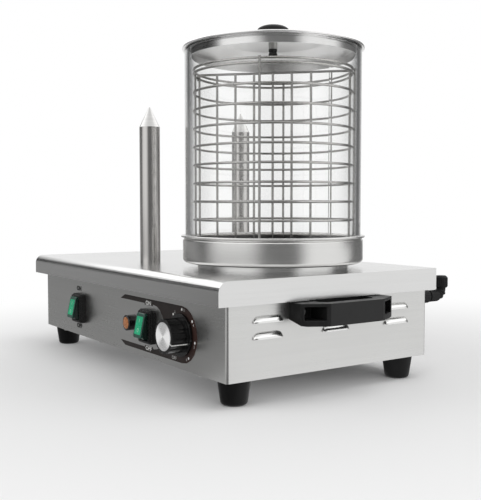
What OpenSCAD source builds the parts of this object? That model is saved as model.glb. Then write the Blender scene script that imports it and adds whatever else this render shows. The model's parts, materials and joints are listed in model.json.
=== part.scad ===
// Counter-top hot dog steamer: a low cabinet with two heated spikes for bread,
// and a steam column made of a glass tube, a wire basket and a lid.
// +X runs to the right along the front, +Y to the rear, +Z up, and z = 0 is the table.

/* [Cabinet] */
// Width across the side walls
body_w = 480; // [460:1:560]
// Depth from the front wall to the rear wall
body_d = 278; // [270:1:320]
// Height of the feet, which is the gap under the cabinet
foot_h = 27; // [22:0.5:40]
// Height of the top face of the cover above the table
cover_z = 128.6; // [122:0.1:150]
// Thickness of the stainless sheet
sheet_t = 1.2; // [0.8:0.1:1.6]
// Outer radius of the upright bends of the walls
wall_bend_r = 3; // [2:0.5:6]
// Width of the flanges that stiffen the walls
wall_flange = 10; // [8:0.5:12]

/* [Top cover] */
// Reach of the cover in front of the front wall
cover_front = 14.1; // [12:0.1:25]
// Reach of the cover beside each side wall
cover_side = 7.6; // [4:0.1:15]
// Reach of the cover behind the rear wall
cover_rear = 8.4; // [6:0.1:15]
// Height of the skirt of the cover
cover_skirt = 25; // [18:0.5:32]
// Outer radius of the rounded front edge
cover_bend_r = 11; // [6:0.5:14]

/* [Louvres] */
// Length of a louvre
louvre_w = 36; // [30:0.5:44]
// Distance that a louvre stands out
louvre_out = 4.6; // [3:0.1:7]
// Height of a louvre
louvre_h = 6.6; // [5:0.1:9]
// Distance between louvres along the wall
louvre_step_y = 89.5; // [80:0.5:95]
// Distance between the two rows
louvre_step_z = 16.4; // [13:0.1:22]
// Height of the open lower edge of the lower row
louvre_z = 68; // [62:0.5:80]

/* [Feet] */
// Diameter of a foot at its top
foot_top_d = 35; // [30:0.5:42]
// Diameter of a foot at its bottom
foot_bottom_d = 28.6; // [24:0.5:34]
// Radius of the lower edge of a foot
foot_edge_r = 4; // [2:0.5:6]
// Distance from a side wall to the middle of a foot
foot_inset_x = 22.5; // [21:0.5:40]
// Distance from the front or rear wall to the middle of a foot
foot_inset_y = 23.7; // [21:0.1:40]

/* [Handles] */
// Reach of a handle from the side wall
handle_reach = 35; // [31:0.5:45]
// Length of a handle at its root
handle_root_w = 126; // [116:1:140]
// Length of the grip bar
handle_bar_w = 76; // [66:1:86]
// Thickness of the grip bar
handle_bar_t = 12; // [10:0.5:14]
// Height of the grip bar
handle_h = 23; // [20:0.5:25]
// Gap between the handle and the lower edge of the cover
handle_drop = 1.1; // [0.6:0.1:4]

/* [Spikes] */
// Diameter of a spike
spike_d = 26.6; // [22:0.1:30]
// Height of a spike above the cover
spike_h = 200; // [160:1:240]
// Height of the point of a spike
spike_point_h = 26; // [18:0.5:36]
// Place of the spikes left of the middle
spike_x = 47; // [40:1:60]
// Distance from the middle line to each spike
spike_y = 70; // [55:1:90]

/* [Steam column] */
// Distance from the right side wall to the seat of the glass
column_inset = 7.3; // [4:0.1:20]
// Width of the ledge between the collar and the edge of the seat
seat_ledge = 16.5; // [12:0.1:20]
// Height of the collar above the cover
collar_h = 11.9; // [8:0.1:20]
// Depth of the water basin below the collar rim
basin_depth = 42.5; // [38:0.5:48]
// Gap between the glass and the wall of its seat
seat_gap = 2.85; // [1.5:0.05:5]
// Height of the seat
seat_h = 26; // [20:0.5:34]
// Width of the rim of the seat
seat_rim_w = 1.6; // [1:0.1:3]
// Thickness of the seal under the glass
seal_t = 1.5; // [1:0.1:3]
// Outer diameter of the glass tube
glass_d = 205.3; // [203:0.1:206]
// Wall of the glass tube
glass_wall = 5; // [4:0.1:5.6]
// Height of the glass tube
glass_h = 236.6; // [225:0.1:260]

/* [Basket] */
// Diameter of the wire
wire_d = 2.8; // [2:0.1:3]
// Gap between the basket and the inside of the glass
basket_gap = 1.5; // [1:0.05:4]
// Distance between rings
ring_step = 20.75; // [19:0.05:21]
// Number of rings below the rim
ring_count = 10; // [8:1:10]
// Height of the upper rim ring above the foot of the basket
rim_top_h = 214.4; // [210:0.1:222]
// Distance between the two rim rings
rim_step = 4.8; // [4.7:0.1:6]
// Number of upright wires in the divider
divider_wires = 9; // [7:2:11]
// Turn of the divider from the front of the cabinet
divider_turn = 45; // [30:1:60]

/* [Lid] */
// Reach of the lip of the lid past the glass
lid_overhang = 2.85; // [1.5:0.05:6]
// Gap between the skirt of the lid and the inside of the glass
lid_gap = 2.15; // [1:0.05:4]
// Depth of the skirt below the top of the glass
lid_skirt_h = 8.8; // [6:0.1:12]
// Rise of the raised middle above the lip
lid_rise = 9.6; // [6:0.1:16]
// Diameter of the lid knob
lid_knob_d = 37; // [30:0.5:44]
// Height of the lid knob
lid_knob_h = 19.4; // [16:0.1:26]

/* [Control panel] */
// Height of the line that all controls sit on
control_z = 64.4; // [60:0.1:72]
// Place of the spike switch left of the middle
left_switch_x = 113.5; // [100:0.5:150]
// Place of the column switch right of the middle
right_switch_x = 82; // [76:0.5:88]
// Place of the lamp right of the middle
lamp_x = 44; // [36:0.5:48]
// Distance between the middles of the right switch and the dial
dial_spacing = 72.5; // [66:0.5:80]
// Width of a switch frame
switch_w = 28.5; // [26:0.5:30]
// Height of a switch frame
switch_h = 38.5; // [34:0.5:42]
// Depth of a switch frame
switch_frame_t = 5.8; // [4:0.1:7]
// Tilt of a rocker to each side
rocker_tilt = 12; // [8:1:13]
// Diameter of the lamp lens
lens_d = 16; // [12:0.5:18]
// Reach of the lamp
lamp_reach = 12.5; // [9:0.5:16]
// Diameter of the skirt of the dial knob
dial_skirt_d = 46; // [40:0.5:50]
// Diameter of the grip of the dial knob
dial_grip_d = 37; // [32:0.5:40]
// Diameter of the metal cap of the dial knob
dial_cap_d = 30; // [24:0.5:31]
// Reach of the dial knob from the front wall
dial_reach = 23.4; // [20:0.1:30]
// Number of flutes round the grip
flute_count = 12; // [8:1:16]
// Turn of the pointer below the right, at rest
pointer_turn = 23; // [0:1:60]
// Height of the printed label
label_h = 61; // [56:0.5:64]
// Width of the band of the label
label_band = 5.3; // [4:0.1:8]

/* [Drain] */
// Distance from the right side wall to the middle of the drain
drain_inset = 20; // [18:0.5:26]
// Height of the drain pipe above the table
drain_z = 92; // [88:0.5:92]
// Distance from the rear wall to the upright part of the elbow
drain_out = 48; // [44:0.5:60]
// Outer diameter of the drain pipe
drain_pipe_d = 10; // [8:0.5:10]
// Diameter of the drain body
drain_body_d = 15; // [14:0.5:18]
// Diameter of the drain cap
drain_cap_d = 16; // [14:0.5:18]
// Height of the drain cap
drain_cap_h = 14.4; // [12:0.1:18]

/* [Hidden] */

// Steps of a drawn arc, a count
arc_steps = 10;
// Overrun that cuts go past a face
over = 2;
// Play between parts that are pushed together and stay
fit = 0.15;
// Radial play of a part that turns in another
run_fit = 0.05;
// Play round a screw
screw_fit = 0.3;
// Gap that keeps curved faces apart
soft_gap = 0.3;

// The middle of the whole steamer, knob to drain, lies on y = 0
drain_reach = drain_out + drain_cap_d / 2;
frame_y = (dial_reach - drain_reach) / 2;

// Cabinet
cover_w = body_w + 2 * cover_side;
cover_low = cover_z - cover_skirt;
plate_low = cover_z - sheet_t;
front_y = -body_d / 2;
rear_y = body_d / 2;
inner_w = body_w - 2 * sheet_t;
inner_d = body_d - 2 * sheet_t;
inner_r = wall_bend_r - sheet_t / 2;
base_top = foot_h + sheet_t;
flange_top = base_top + sheet_t;
panel_lap = 6;
rear_window_w = inner_w - 2 * wall_flange;
rear_window_low = flange_top + wall_flange;
rear_window_top = plate_low - wall_flange;

// Screws
screw_d = 5;
screw_head_d = 9.4;
screw_head_h = 2.6;
screw_slot_w = 1.2;
screw_slot_d = 1.4;
nut_w = 8;
nut_h = 4;
rear_screw_d = 4;
rear_screw_head_d = 7.6;
rear_screw_head_h = 2.4;
rear_screw_l = 8;
foot_bore_head_d = 13;
foot_bore_depth = 15;
base_screw_inset = wall_flange / 2;
base_screw_shares = [-0.38, -0.13, 0.13, 0.38];

// Base vents
vent_l = 46;
vent_w = 4;
vent_step = 14;
vent_count = 6;
vent_x = 120;

// Louvres, each cut from a ring that lies flat and pokes through the wall
louvre_big_r = (louvre_w * louvre_w / 4 + louvre_out * louvre_out) / (2 * louvre_out);
louvre_ring_r = louvre_big_r - louvre_h;

// Handles
handle_top = cover_low - handle_drop;
handle_low = handle_top - handle_h;
handle_shoulder = 20;
handle_leg_in = 26;
handle_leg_slope = 5.5;
handle_root_t = 7;
handle_rib = 3;
handle_screw_in = 10.5;
handle_screw_y = handle_root_w / 2 - handle_screw_in;
handle_rise = 6;
handle_edge = 1.6;

// Spikes
stem_d = 16;
stem_l = 17;
spike_tip_r = 1.3;
spike_bore_d = 10.4;
spike_heater_d = 10;
spike_heater_gap = 14;
spike_heater_tail = 7;
spike_nut_w = 24;
spike_nut_h = 7;
spike_washer_h = 1.5;
spike_washer_d = 30;

// Steam column
glass_r = glass_d / 2;
glass_in_r = glass_r - glass_wall;
seat_r = glass_r + seat_gap;
column_x = body_w / 2 - column_inset - seat_r;
collar_top = cover_z + collar_h;
collar_r = seat_r - seat_ledge;
basin_low = collar_top - basin_depth;
basin_corner_r = 8;
basin_flange_r = collar_r + 11;
seat_floor = collar_top + sheet_t;
seat_corner_r = 5;
seat_neck_h = 8;
seat_top = collar_top + seat_h;
seat_bead = 2.2;
glass_low = seat_floor + seal_t;
glass_top = glass_low + glass_h;
glass_edge = 0.8;
seal_lip_t = 0.8;
seal_lip_h = seat_h - 5;
seal_outer_r = seat_r - seat_corner_r - fit;
seal_lip_r = glass_in_r - soft_gap;

// Heater in the basin
heater_ring_r = 55;
heater_d = 8;
heater_leg_d = 9.6;
heater_gap_turn = 50;
heater_clear = 9;
heater_tail = 20;
heater_nut_w = 16;
heater_nut_h = 5;

// Basket
wire_r = wire_d / 2;
weld_gap = 0.05;
upright_r = glass_in_r - basket_gap - wire_r;
ring_r = upright_r - wire_d - weld_gap;
basket_low = seat_floor;
upright_count = 4;
floor_t = 1;
floor_hole_d = 12;
floor_rows = 5;
floor_row_step = 17;
floor_low = basket_low + wire_d;
divider_r = ring_r - wire_d - weld_gap;
divider_low = floor_low + floor_t + wire_r;
rim_top = basket_low + rim_top_h;
rim_low = rim_top - rim_step;
divider_top = rim_top - wire_d / 2;
hook_wire_r = 0.9;
hook_r = wire_r + hook_wire_r + fit;

// Lid
lid_t = 1.2;
lid_lip_top = glass_top + lid_t;
lid_top = lid_lip_top + lid_rise;
lid_skirt_r = glass_in_r - lid_gap;
lid_r = glass_r + lid_overhang;
lid_bead_r = 1.3;
lid_shoulder_in = 36;
stud_d = 5;
spacer_d = 10.4;
spacer_h = 7.4;
lid_nut_d = 10;
lid_nut_h = 8;
lid_nut_waist = 1.2;
knob_stem_d = 17;
knob_stem_h = 9.5;
knob_under_h = 3.4;
knob_bore_depth = 11;

// Switches
rocker_w = switch_w - 8;
rocker_h = switch_h - 9;
rocker_out = 12.5;
rocker_edge_r = 3.6;
rocker_root = 3;
rocker_play = 0.9;
rocker_pin_d = 3;
rocker_pin_l = 1.6;
rocker_pin_out = 2;
boot_out = 9;
boot_step = 1.8;
boot_wall = 1.3;
switch_corner_r = 3;
switch_back_l = 24;
switch_back_wall = 1.6;
terminal_w = 6.3;
terminal_t = 0.8;
terminal_l = 9;
terminal_step = 9;

// Lamp
lamp_d = 18;
lamp_stem_d = 12;
lamp_stem_l = 22;
lamp_seat = 2.5;
lens_dome = 1.4;

// Dial
dial_x = right_switch_x + dial_spacing;
label_t = 0.4;
dial_gap = 1;
skirt_t = 2.6;
dial_cap_t = 1.2;
flute_d = 5;
flute_sink = 1.2;
shaft_d = 6;
bush_d = 10;
bush_l = 5;
bush_nut_w = 14;
bush_nut_h = 2.5;
dial_hollow_d = 22;
thermostat_d = 42;
thermostat_l = 24;
thermostat_plate_w = 56;
thermostat_plate_h = 30;
pointer_w = 0.9;
pointer_t = 0.5;
label_left = 7;
label_cut = 12;
label_hole_d = bush_nut_w + 4;
label_bay_x = 91.5;
label_tab_w = 18.5;
label_tab_h = 1.7;
label_tab_x = 79;

// Drain
drain_x = body_w / 2 - drain_inset;
pipe_wall = 1;
pipe_bend_r = 7;
drain_hole_in = 53;
drain_hole_y = 45;
drain_lock_w = 22;
drain_lock_h = 5;
drain_pipe_tail = 14;
drain_body_l = 19;
drain_rib_count = 20;
drain_rib_d = 1.6;
drain_spigot_d = 8;
elbow_d = 14;
elbow_bend_r = 9;
elbow_neck_d = 11;
cap_gap = 0.4;
cap_edge = 2;
spigot_l = 8;

// Cable gland and terminal block
gland_inset = 58;
gland_x = body_w / 2 - gland_inset;
gland_z = 56;
gland_hex_w = 24;
gland_hex_h = 7;
gland_dome_h = 13;
gland_d = 19;
gland_bore_d = 8.5;
gland_thread_d = 16;
gland_thread_l = 12;
block_l = 60;
block_w = 20;
block_h = 17;
block_x = -110;
block_y = 62;
block_ways = 5;
block_screw_d = 4.4;

function arc(cx, cy, r, from, to) =
    [for (i = [0:arc_steps]) let (a = from + (to - from) * i / arc_steps)
        [cx + r * cos(a), cy + r * sin(a)]];

function round_box(w, h, r) = concat(
    arc(w / 2 - r, h / 2 - r, r, 0, 90),
    arc(r - w / 2, h / 2 - r, r, 90, 180),
    arc(r - w / 2, r - h / 2, r, 180, 270),
    arc(w / 2 - r, r - h / 2, r, 270, 360));

module placed() {
    translate([0, frame_y, 0]) children();
}

module on_column(z = 0) {
    translate([column_x, frame_y, z]) children();
}

// A flat plate with round corners that stands on z = low
module slab(w, d, r, low, high) {
    translate([0, 0, low]) linear_extrude(high - low) polygon(round_box(w, d, r));
}

// Runs an outline drawn in y and z along x
module along_x(length) {
    translate([-length / 2, 0, 0]) rotate([90, 0, 90]) linear_extrude(length) children();
}

// Turns z so that it points out of the front, from the front wall
module on_front(x, z = control_z, out = 0) {
    translate([x, front_y - out, z]) rotate([90, 0, 0]) children();
}

// Turns z so that it points out of the rear
module on_rear(x, z, out = 0) {
    translate([x, rear_y + out, z]) rotate([-90, 0, 0]) children();
}

module hex_nut(w, h, bore) {
    difference() {
        cylinder(d = w / cos(30), h = h, $fn = 6);
        translate([0, 0, -over]) cylinder(d = bore, h = h + 2 * over, $fn = 48);
    }
}

// A pan-head screw whose head sits on z = 0 and points up
module screw(d, length, head_d, head_h) {
    difference() {
        union() {
            translate([0, 0, -length]) cylinder(d = d, h = length + head_h / 2, $fn = 32);
            rotate_extrude($fn = 48) polygon(concat([[0, 0], [head_d / 2, 0]],
                arc(head_d / 2 - head_h / 2, head_h / 2, head_h / 2, 0, 90), [[0, head_h]]));
        }
        for (turn = [0, 90]) rotate(turn) translate([-head_d / 4, -screw_slot_w / 2,
            head_h - screw_slot_d]) cube([head_d / 2, screw_slot_w, screw_slot_d + over]);
    }
}

function cover_outline(inset, low) = concat(
    [[rear_y + cover_rear - inset, low], [rear_y + cover_rear - inset, cover_z - inset]],
    arc(front_y - cover_front + cover_bend_r, cover_z - cover_bend_r, cover_bend_r - inset, 90, 180),
    [[front_y - cover_front + inset, low]]);

module top_cover() {
    color("gainsboro") placed() difference() {
        along_x(cover_w) polygon(cover_outline(0, cover_low));
        along_x(cover_w - 2 * sheet_t) polygon(cover_outline(sheet_t, cover_low + sheet_t));
        for (step_back = [0, sheet_t + soft_gap]) translate([0, step_back, 0])
            slab(body_w + 2 * fit, body_d + 2 * fit, wall_bend_r, cover_low - over,
            cover_low + sheet_t + over);
        translate([column_x, 0, plate_low - over])
            cylinder(r = collar_r + fit, h = sheet_t + 2 * over, $fn = 128);
        for (side = [-1, 1]) translate([-spike_x, side * spike_y, plate_low - over])
            cylinder(d = stem_d + screw_fit, h = sheet_t + 2 * over, $fn = 48);
    }
}

// A flat ring with its middle line on the bend of the louvre, cut at its middle plane
module louvre_ring(inset) {
    translate([louvre_out - louvre_big_r, 0, 0]) difference() {
        rotate_extrude($fn = 128) intersection() {
            translate([louvre_ring_r, 0]) circle(r = louvre_h - inset, $fn = 64);
            square([louvre_big_r + over, louvre_h + over]);
        }
        translate([-louvre_big_r - over, -louvre_big_r - over, -over])
            cube([2 * louvre_big_r - louvre_out - louvre_h / 2, 2 * (louvre_big_r + over),
            louvre_h + 2 * over]);
    }
}

module at_louvres() {
    for (side = [0, 180], column = [-1, 0, 1], row = [0, 1])
        rotate(side) translate([body_w / 2, column * louvre_step_y, louvre_z + row * louvre_step_z])
            children();
}

module cabinet_shell() {
    color("silver") placed() difference() {
        union() {
            slab(body_w, body_d, wall_bend_r, foot_h, plate_low);
            at_louvres() intersection() {
                louvre_ring(0);
                translate([-sheet_t / 2, -louvre_w, -over])
                    cube([louvre_w, 2 * louvre_w, louvre_h + 2 * over]);
            }
        }
        at_louvres() louvre_ring(sheet_t);
        slab(inner_w, inner_d, inner_r, flange_top, plate_low - sheet_t);
        slab(inner_w, inner_d, inner_r, foot_h - over, base_top);
        slab(inner_w - 2 * wall_flange, inner_d - 2 * wall_flange, inner_r, foot_h - over,
            cover_z + over);
        translate([-rear_window_w / 2, rear_y - sheet_t - over, rear_window_low])
            cube([rear_window_w, sheet_t + 2 * over, rear_window_top - rear_window_low]);
        for (x = [-left_switch_x, right_switch_x]) on_front(x, control_z, -sheet_t - over)
            linear_extrude(sheet_t + 2 * over)
            square([rocker_w + 2 * fit, rocker_h + 2 * fit], center = true);
        on_front(lamp_x, control_z, -sheet_t - over)
            cylinder(d = lamp_stem_d + 2 * fit, h = sheet_t + 2 * over, $fn = 48);
        on_front(dial_x, control_z, -sheet_t - over)
            cylinder(d = bush_d + 2 * fit, h = sheet_t + 2 * over, $fn = 48);
        for (side = [-1, 1], end = [-1, 1])
            translate([side * body_w / 2, end * handle_screw_y, handle_screw_z()])
            rotate([0, 90, 0]) cylinder(d = screw_d + screw_fit, h = 2 * over + sheet_t,
            center = true, $fn = 32);
        at_base_screws() translate([0, 0, foot_h - over])
            cylinder(d = rear_screw_d + screw_fit, h = 3 * sheet_t + 2 * over, $fn = 32);
        at_rear_screws() translate([0, 0, -2 * over])
            cylinder(d = rear_screw_d + screw_fit, h = 3 * over, $fn = 32);
    }
}

module at_base_screws() {
    for (share = base_screw_shares, side = [-1, 1])
        translate([share * inner_w, side * (inner_d / 2 - base_screw_inset), 0]) children();
}

module at_rear_screws() {
    for (side = [-1, 1], z = [rear_window_low - panel_lap / 2, rear_window_top + panel_lap / 2],
        x = [0, rear_window_w / 2 - wall_flange])
        if (x > 0 || side > 0) on_rear(side * x, z, sheet_t) children();
}

module rear_panel() {
    color("silver") placed() difference() {
        translate([0, rear_y + sheet_t, (rear_window_low + rear_window_top) / 2])
            rotate([90, 0, 0]) linear_extrude(sheet_t) polygon(round_box(
            rear_window_w + 2 * panel_lap, rear_window_top - rear_window_low + 2 * panel_lap,
            wall_bend_r));
        on_rear(drain_x, drain_z, -over) cylinder(d = drain_pipe_d + 2 * fit,
            h = sheet_t + 2 * over, $fn = 48);
        on_rear(-gland_x, gland_z, -over) cylinder(d = gland_thread_d + 2 * fit,
            h = sheet_t + 2 * over, $fn = 48);
        at_rear_screws() translate([0, 0, -2 * over])
            cylinder(d = rear_screw_d + screw_fit, h = 3 * over, $fn = 32);
    }
}

module rear_screws() {
    color("dimgray") placed() at_rear_screws()
        screw(rear_screw_d, rear_screw_l, rear_screw_head_d, rear_screw_head_h);
}

module at_feet() {
    for (x = [-1, 1], y = [-1, 1])
        translate([x * (body_w / 2 - foot_inset_x), y * (body_d / 2 - foot_inset_y), 0]) children();
}

module base_plate() {
    color("darkgray") placed() difference() {
        slab(inner_w - 2 * fit, inner_d - 2 * fit, inner_r, foot_h, base_top);
        at_feet() translate([0, 0, foot_h - over])
            cylinder(d = screw_d + screw_fit, h = sheet_t + 2 * over, $fn = 32);
        at_base_screws() translate([0, 0, foot_h - over])
            cylinder(d = rear_screw_d + screw_fit, h = sheet_t + 2 * over, $fn = 32);
        for (side = [-1, 1], i = [0:vent_count - 1])
            translate([side * vent_x, (i - (vent_count - 1) / 2) * vent_step, foot_h])
            cube([vent_l, vent_w, 3 * over], center = true);
    }
}

module base_screws() {
    color("dimgray") placed() at_base_screws() translate([0, 0, foot_h]) rotate([180, 0, 0])
        screw(rear_screw_d, rear_screw_l, rear_screw_head_d, rear_screw_head_h);
}

module foot() {
    color("dimgray") difference() {
        rotate_extrude($fn = 96) polygon(concat([[0, 0]],
            arc(foot_bottom_d / 2 - foot_edge_r, foot_edge_r, foot_edge_r, 270, 355),
            [[foot_top_d / 2, foot_h - sheet_t], [foot_top_d / 2, foot_h], [0, foot_h]]));
        translate([0, 0, -over]) cylinder(d = foot_bore_head_d, h = foot_bore_depth + over, $fn = 48);
        cylinder(d = screw_d + screw_fit, h = foot_h + over, $fn = 32);
    }
}

module foot_at(x, y) {
    placed() translate([x * (body_w / 2 - foot_inset_x), y * (body_d / 2 - foot_inset_y), 0]) foot();
}

module front_left_foot() {
    foot_at(-1, -1);
}

module front_right_foot() {
    foot_at(1, -1);
}

module rear_left_foot() {
    foot_at(-1, 1);
}

module rear_right_foot() {
    foot_at(1, 1);
}

// Each screw comes up through its foot, and its nut sits on the base plate
module foot_screws() {
    color("silver") placed() at_feet() {
        translate([0, 0, foot_bore_depth]) rotate([180, 0, 0])
            screw(screw_d, base_top + nut_h + sheet_t - foot_bore_depth, screw_head_d, screw_head_h);
        translate([0, 0, base_top]) hex_nut(nut_w, nut_h, screw_d - screw_fit);
    }
}

function handle_screw_z() = handle_top - handle_h / 2 + handle_rise / 4;

handle_x = body_w / 2 + handle_reach;
handle_outline = [
    [body_w / 2, -handle_root_w / 2],
    [body_w / 2 + handle_shoulder, -handle_root_w / 2],
    [handle_x - handle_edge, -handle_bar_w / 2 - handle_edge],
    [handle_x, -handle_bar_w / 2 + handle_edge],
    [handle_x, handle_bar_w / 2 - handle_edge],
    [handle_x - handle_edge, handle_bar_w / 2 + handle_edge],
    [body_w / 2 + handle_shoulder, handle_root_w / 2],
    [body_w / 2, handle_root_w / 2],
    [body_w / 2, handle_root_w / 2 - handle_leg_in],
    [handle_x - handle_bar_t - handle_leg_slope, handle_root_w / 2 - handle_leg_in],
    [handle_x - handle_bar_t, handle_root_w / 2 - handle_leg_in - handle_leg_slope],
    [handle_x - handle_bar_t, -handle_root_w / 2 + handle_leg_in + handle_leg_slope],
    [handle_x - handle_bar_t - handle_leg_slope, -handle_root_w / 2 + handle_leg_in],
    [body_w / 2, -handle_root_w / 2 + handle_leg_in]];

// The underside climbs from the bar to the wall, and each leg has a pocket for its screw
module handle() {
    color("dimgray") difference() {
        translate([0, 0, handle_low]) linear_extrude(handle_h) polygon(handle_outline);
        rotate([90, 0, 0]) translate([0, 0, -handle_root_w / 2 - over])
            linear_extrude(handle_root_w + 2 * over) polygon([
            [body_w / 2 - over, handle_low - over], [handle_x - handle_bar_t, handle_low - over],
            [handle_x - handle_bar_t, handle_low], [body_w / 2 - over, handle_low + handle_rise]]);
        for (end = [-1, 1]) {
            translate([body_w / 2 + handle_root_t,
                end * (handle_root_w / 2 - handle_leg_in / 2) - (handle_leg_in / 2 - handle_rib),
                handle_low + handle_rib + handle_rise / 2])
                cube([handle_reach + over, handle_leg_in - 2 * handle_rib,
                handle_h - 2 * handle_rib - handle_rise / 2]);
            translate([body_w / 2, end * handle_screw_y, handle_screw_z()]) rotate([0, 90, 0])
                cylinder(d = screw_d + screw_fit, h = 3 * handle_root_t, center = true, $fn = 32);
        }
    }
}

module right_handle() {
    placed() handle();
}

module left_handle() {
    placed() rotate(180) handle();
}

module handle_screws() {
    color("silver") placed() for (side = [0, 180], end = [-1, 1]) rotate(side)
        translate([body_w / 2, end * handle_screw_y, handle_screw_z()]) {
            translate([handle_root_t, 0, 0]) rotate([0, 90, 0])
                screw(screw_d, handle_root_t + 2 * sheet_t + nut_h, screw_head_d, screw_head_h);
            translate([-sheet_t, 0, 0]) rotate([0, -90, 0])
                hex_nut(nut_w, nut_h, screw_d - screw_fit);
        }
}

module spike() {
    tip = cover_z + spike_h;
    shoulder = tip - spike_point_h;
    color("lightgray") rotate_extrude($fn = 96) polygon(concat(
        [[spike_bore_d / 2, cover_z - stem_l], [stem_d / 2, cover_z - stem_l],
        [stem_d / 2, cover_z], [spike_d / 2, cover_z], [spike_d / 2, shoulder]],
        arc(0, tip - spike_tip_r, spike_tip_r, 24, 90),
        [[0, shoulder - spike_heater_gap], [spike_bore_d / 2, shoulder - spike_heater_gap]]));
}

module front_spike() {
    placed() translate([-spike_x, -spike_y, 0]) spike();
}

module rear_spike() {
    placed() translate([-spike_x, spike_y, 0]) spike();
}

module spike_nuts() {
    color("darkgray") placed() for (side = [-1, 1])
        translate([-spike_x, side * spike_y, plate_low - spike_washer_h]) {
            difference() {
                cylinder(d = spike_washer_d, h = spike_washer_h, $fn = 64);
                translate([0, 0, -over])
                    cylinder(d = stem_d + 2 * fit, h = spike_washer_h + 2 * over, $fn = 48);
            }
            translate([0, 0, -spike_nut_h]) hex_nut(spike_nut_w, spike_nut_h, stem_d + 2 * fit);
        }
}

module spike_heaters() {
    low = cover_z - stem_l - spike_heater_tail;
    high = cover_z + spike_h - spike_point_h - spike_heater_gap;
    color("slategray") placed() for (side = [-1, 1]) translate([-spike_x, side * spike_y, low])
        cylinder(d = spike_heater_d, h = high - low, $fn = 48);
}

basin_outer = concat(
    [[0, basin_low]],
    arc(collar_r - basin_corner_r, basin_low + basin_corner_r, basin_corner_r, 270, 360),
    [[collar_r, plate_low - sheet_t], [basin_flange_r, plate_low - sheet_t],
    [basin_flange_r, plate_low], [collar_r, plate_low], [collar_r, collar_top],
    [collar_r - sheet_t, collar_top]],
    arc(collar_r - basin_corner_r, basin_low + basin_corner_r, basin_corner_r - sheet_t, 360, 270),
    [[0, basin_low + sheet_t]]);

module at_heater_legs() {
    for (turn = [180 - heater_gap_turn / 2, 180 + heater_gap_turn / 2])
        rotate(turn) translate([heater_ring_r, 0, 0]) children();
}

module water_basin() {
    color("gainsboro") on_column() difference() {
        rotate_extrude($fn = 128) polygon(basin_outer);
        translate([drain_hole_in, drain_hole_y, basin_low - over])
            cylinder(d = drain_pipe_d + 2 * soft_gap, h = sheet_t + 2 * over, $fn = 48);
        at_heater_legs() translate([0, 0, basin_low - over])
            cylinder(d = heater_leg_d + 2 * fit, h = sheet_t + 2 * over, $fn = 48);
    }
}

heater_z = basin_low + sheet_t + heater_clear;

module basin_heater() {
    color("slategray") on_column() {
        translate([0, 0, heater_z]) rotate(180 + heater_gap_turn / 2)
            rotate_extrude(angle = 360 - heater_gap_turn, $fn = 96)
            translate([heater_ring_r, 0]) circle(d = heater_d, $fn = 48);
        at_heater_legs() translate([0, 0, basin_low - heater_tail])
            cylinder(d = heater_leg_d, h = heater_z - basin_low + heater_tail + heater_d * 3 / 4,
            $fn = 48);
    }
}

module heater_nuts() {
    color("goldenrod") on_column() at_heater_legs() translate([0, 0, basin_low - heater_nut_h])
        hex_nut(heater_nut_w, heater_nut_h, heater_leg_d + 2 * fit);
}

seat_neck_r = collar_r - sheet_t - fit;
seat_outline = concat(
    [[seat_neck_r - sheet_t, collar_top - seat_neck_h], [seat_neck_r, collar_top - seat_neck_h],
    [seat_neck_r, collar_top]],
    arc(seat_r - seat_corner_r, collar_top + seat_corner_r, seat_corner_r, 270, 360),
    [[seat_r, seat_top - seat_bead], [seat_r + seat_rim_w, seat_top - seat_bead * 3 / 4],
    [seat_r + seat_rim_w, seat_top - seat_bead / 4], [seat_r + seat_rim_w / 2, seat_top],
    [seat_r - sheet_t, seat_top]],
    arc(seat_r - seat_corner_r, collar_top + seat_corner_r, seat_corner_r - sheet_t, 360, 270),
    [[seat_neck_r - sheet_t, seat_floor]]);

module seat_ring() {
    color("silver") on_column() rotate_extrude($fn = 160) polygon(seat_outline);
}

// The seal lines the inside of the glass foot and lies under it
module seat_seal() {
    color("black") on_column() rotate_extrude($fn = 128) polygon([
        [seal_lip_r - seal_lip_t, seat_floor], [seal_outer_r, seat_floor],
        [seal_outer_r, glass_low], [seal_lip_r, glass_low],
        [seal_lip_r, seat_floor + seal_lip_h], [seal_lip_r - seal_lip_t, seat_floor + seal_lip_h]]);
}

module glass_tube() {
    color("lightblue", 0.4) on_column() rotate_extrude($fn = 160) polygon([
        [glass_in_r, glass_low + glass_edge], [glass_in_r + glass_edge, glass_low],
        [glass_r - glass_edge, glass_low], [glass_r, glass_low + glass_edge],
        [glass_r, glass_top - glass_edge], [glass_r - glass_edge, glass_top],
        [glass_in_r + glass_edge, glass_top], [glass_in_r, glass_top - glass_edge]]);
}

module wire_ring(r, z) {
    translate([0, 0, z]) rotate_extrude($fn = 96) translate([r, 0]) circle(r = wire_r, $fn = 24);
}

module basket_rings() {
    color("silver") on_column() {
        for (i = [0:ring_count - 1]) wire_ring(ring_r, basket_low + wire_r + i * ring_step);
        for (z = [rim_low, rim_top]) wire_ring(ring_r, z);
    }
}

// Four wires that stand outside the rings and are welded to each of them
module basket_uprights() {
    color("silver") on_column() for (i = [0:upright_count - 1])
        rotate(divider_turn + i * 360 / upright_count) translate([upright_r, 0, basket_low])
        cylinder(r = wire_r, h = rim_top_h + wire_r, $fn = 24);
}

// Upright wires between two long wires, with a hook at each end round the lower rim ring
module basket_divider() {
    step = 2 * divider_r / (divider_wires - 1);
    color("silver") on_column() rotate(divider_turn) {
        for (i = [0:divider_wires - 1]) translate([i * step - divider_r, 0, divider_low])
            cylinder(r = wire_r, h = divider_top - divider_low, $fn = 24);
        for (z = [divider_low, divider_top]) translate([-divider_r, 0, z]) rotate([0, 90, 0])
            cylinder(r = wire_r, h = 2 * divider_r, $fn = 24);
        for (turn = [0, 180]) rotate(turn) translate([ring_r, 0, rim_low]) rotate([90, 0, 0])
            rotate(90) rotate_extrude(angle = 180, $fn = 48) translate([hook_r, 0])
            circle(r = hook_wire_r, $fn = 24);
    }
}

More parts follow.
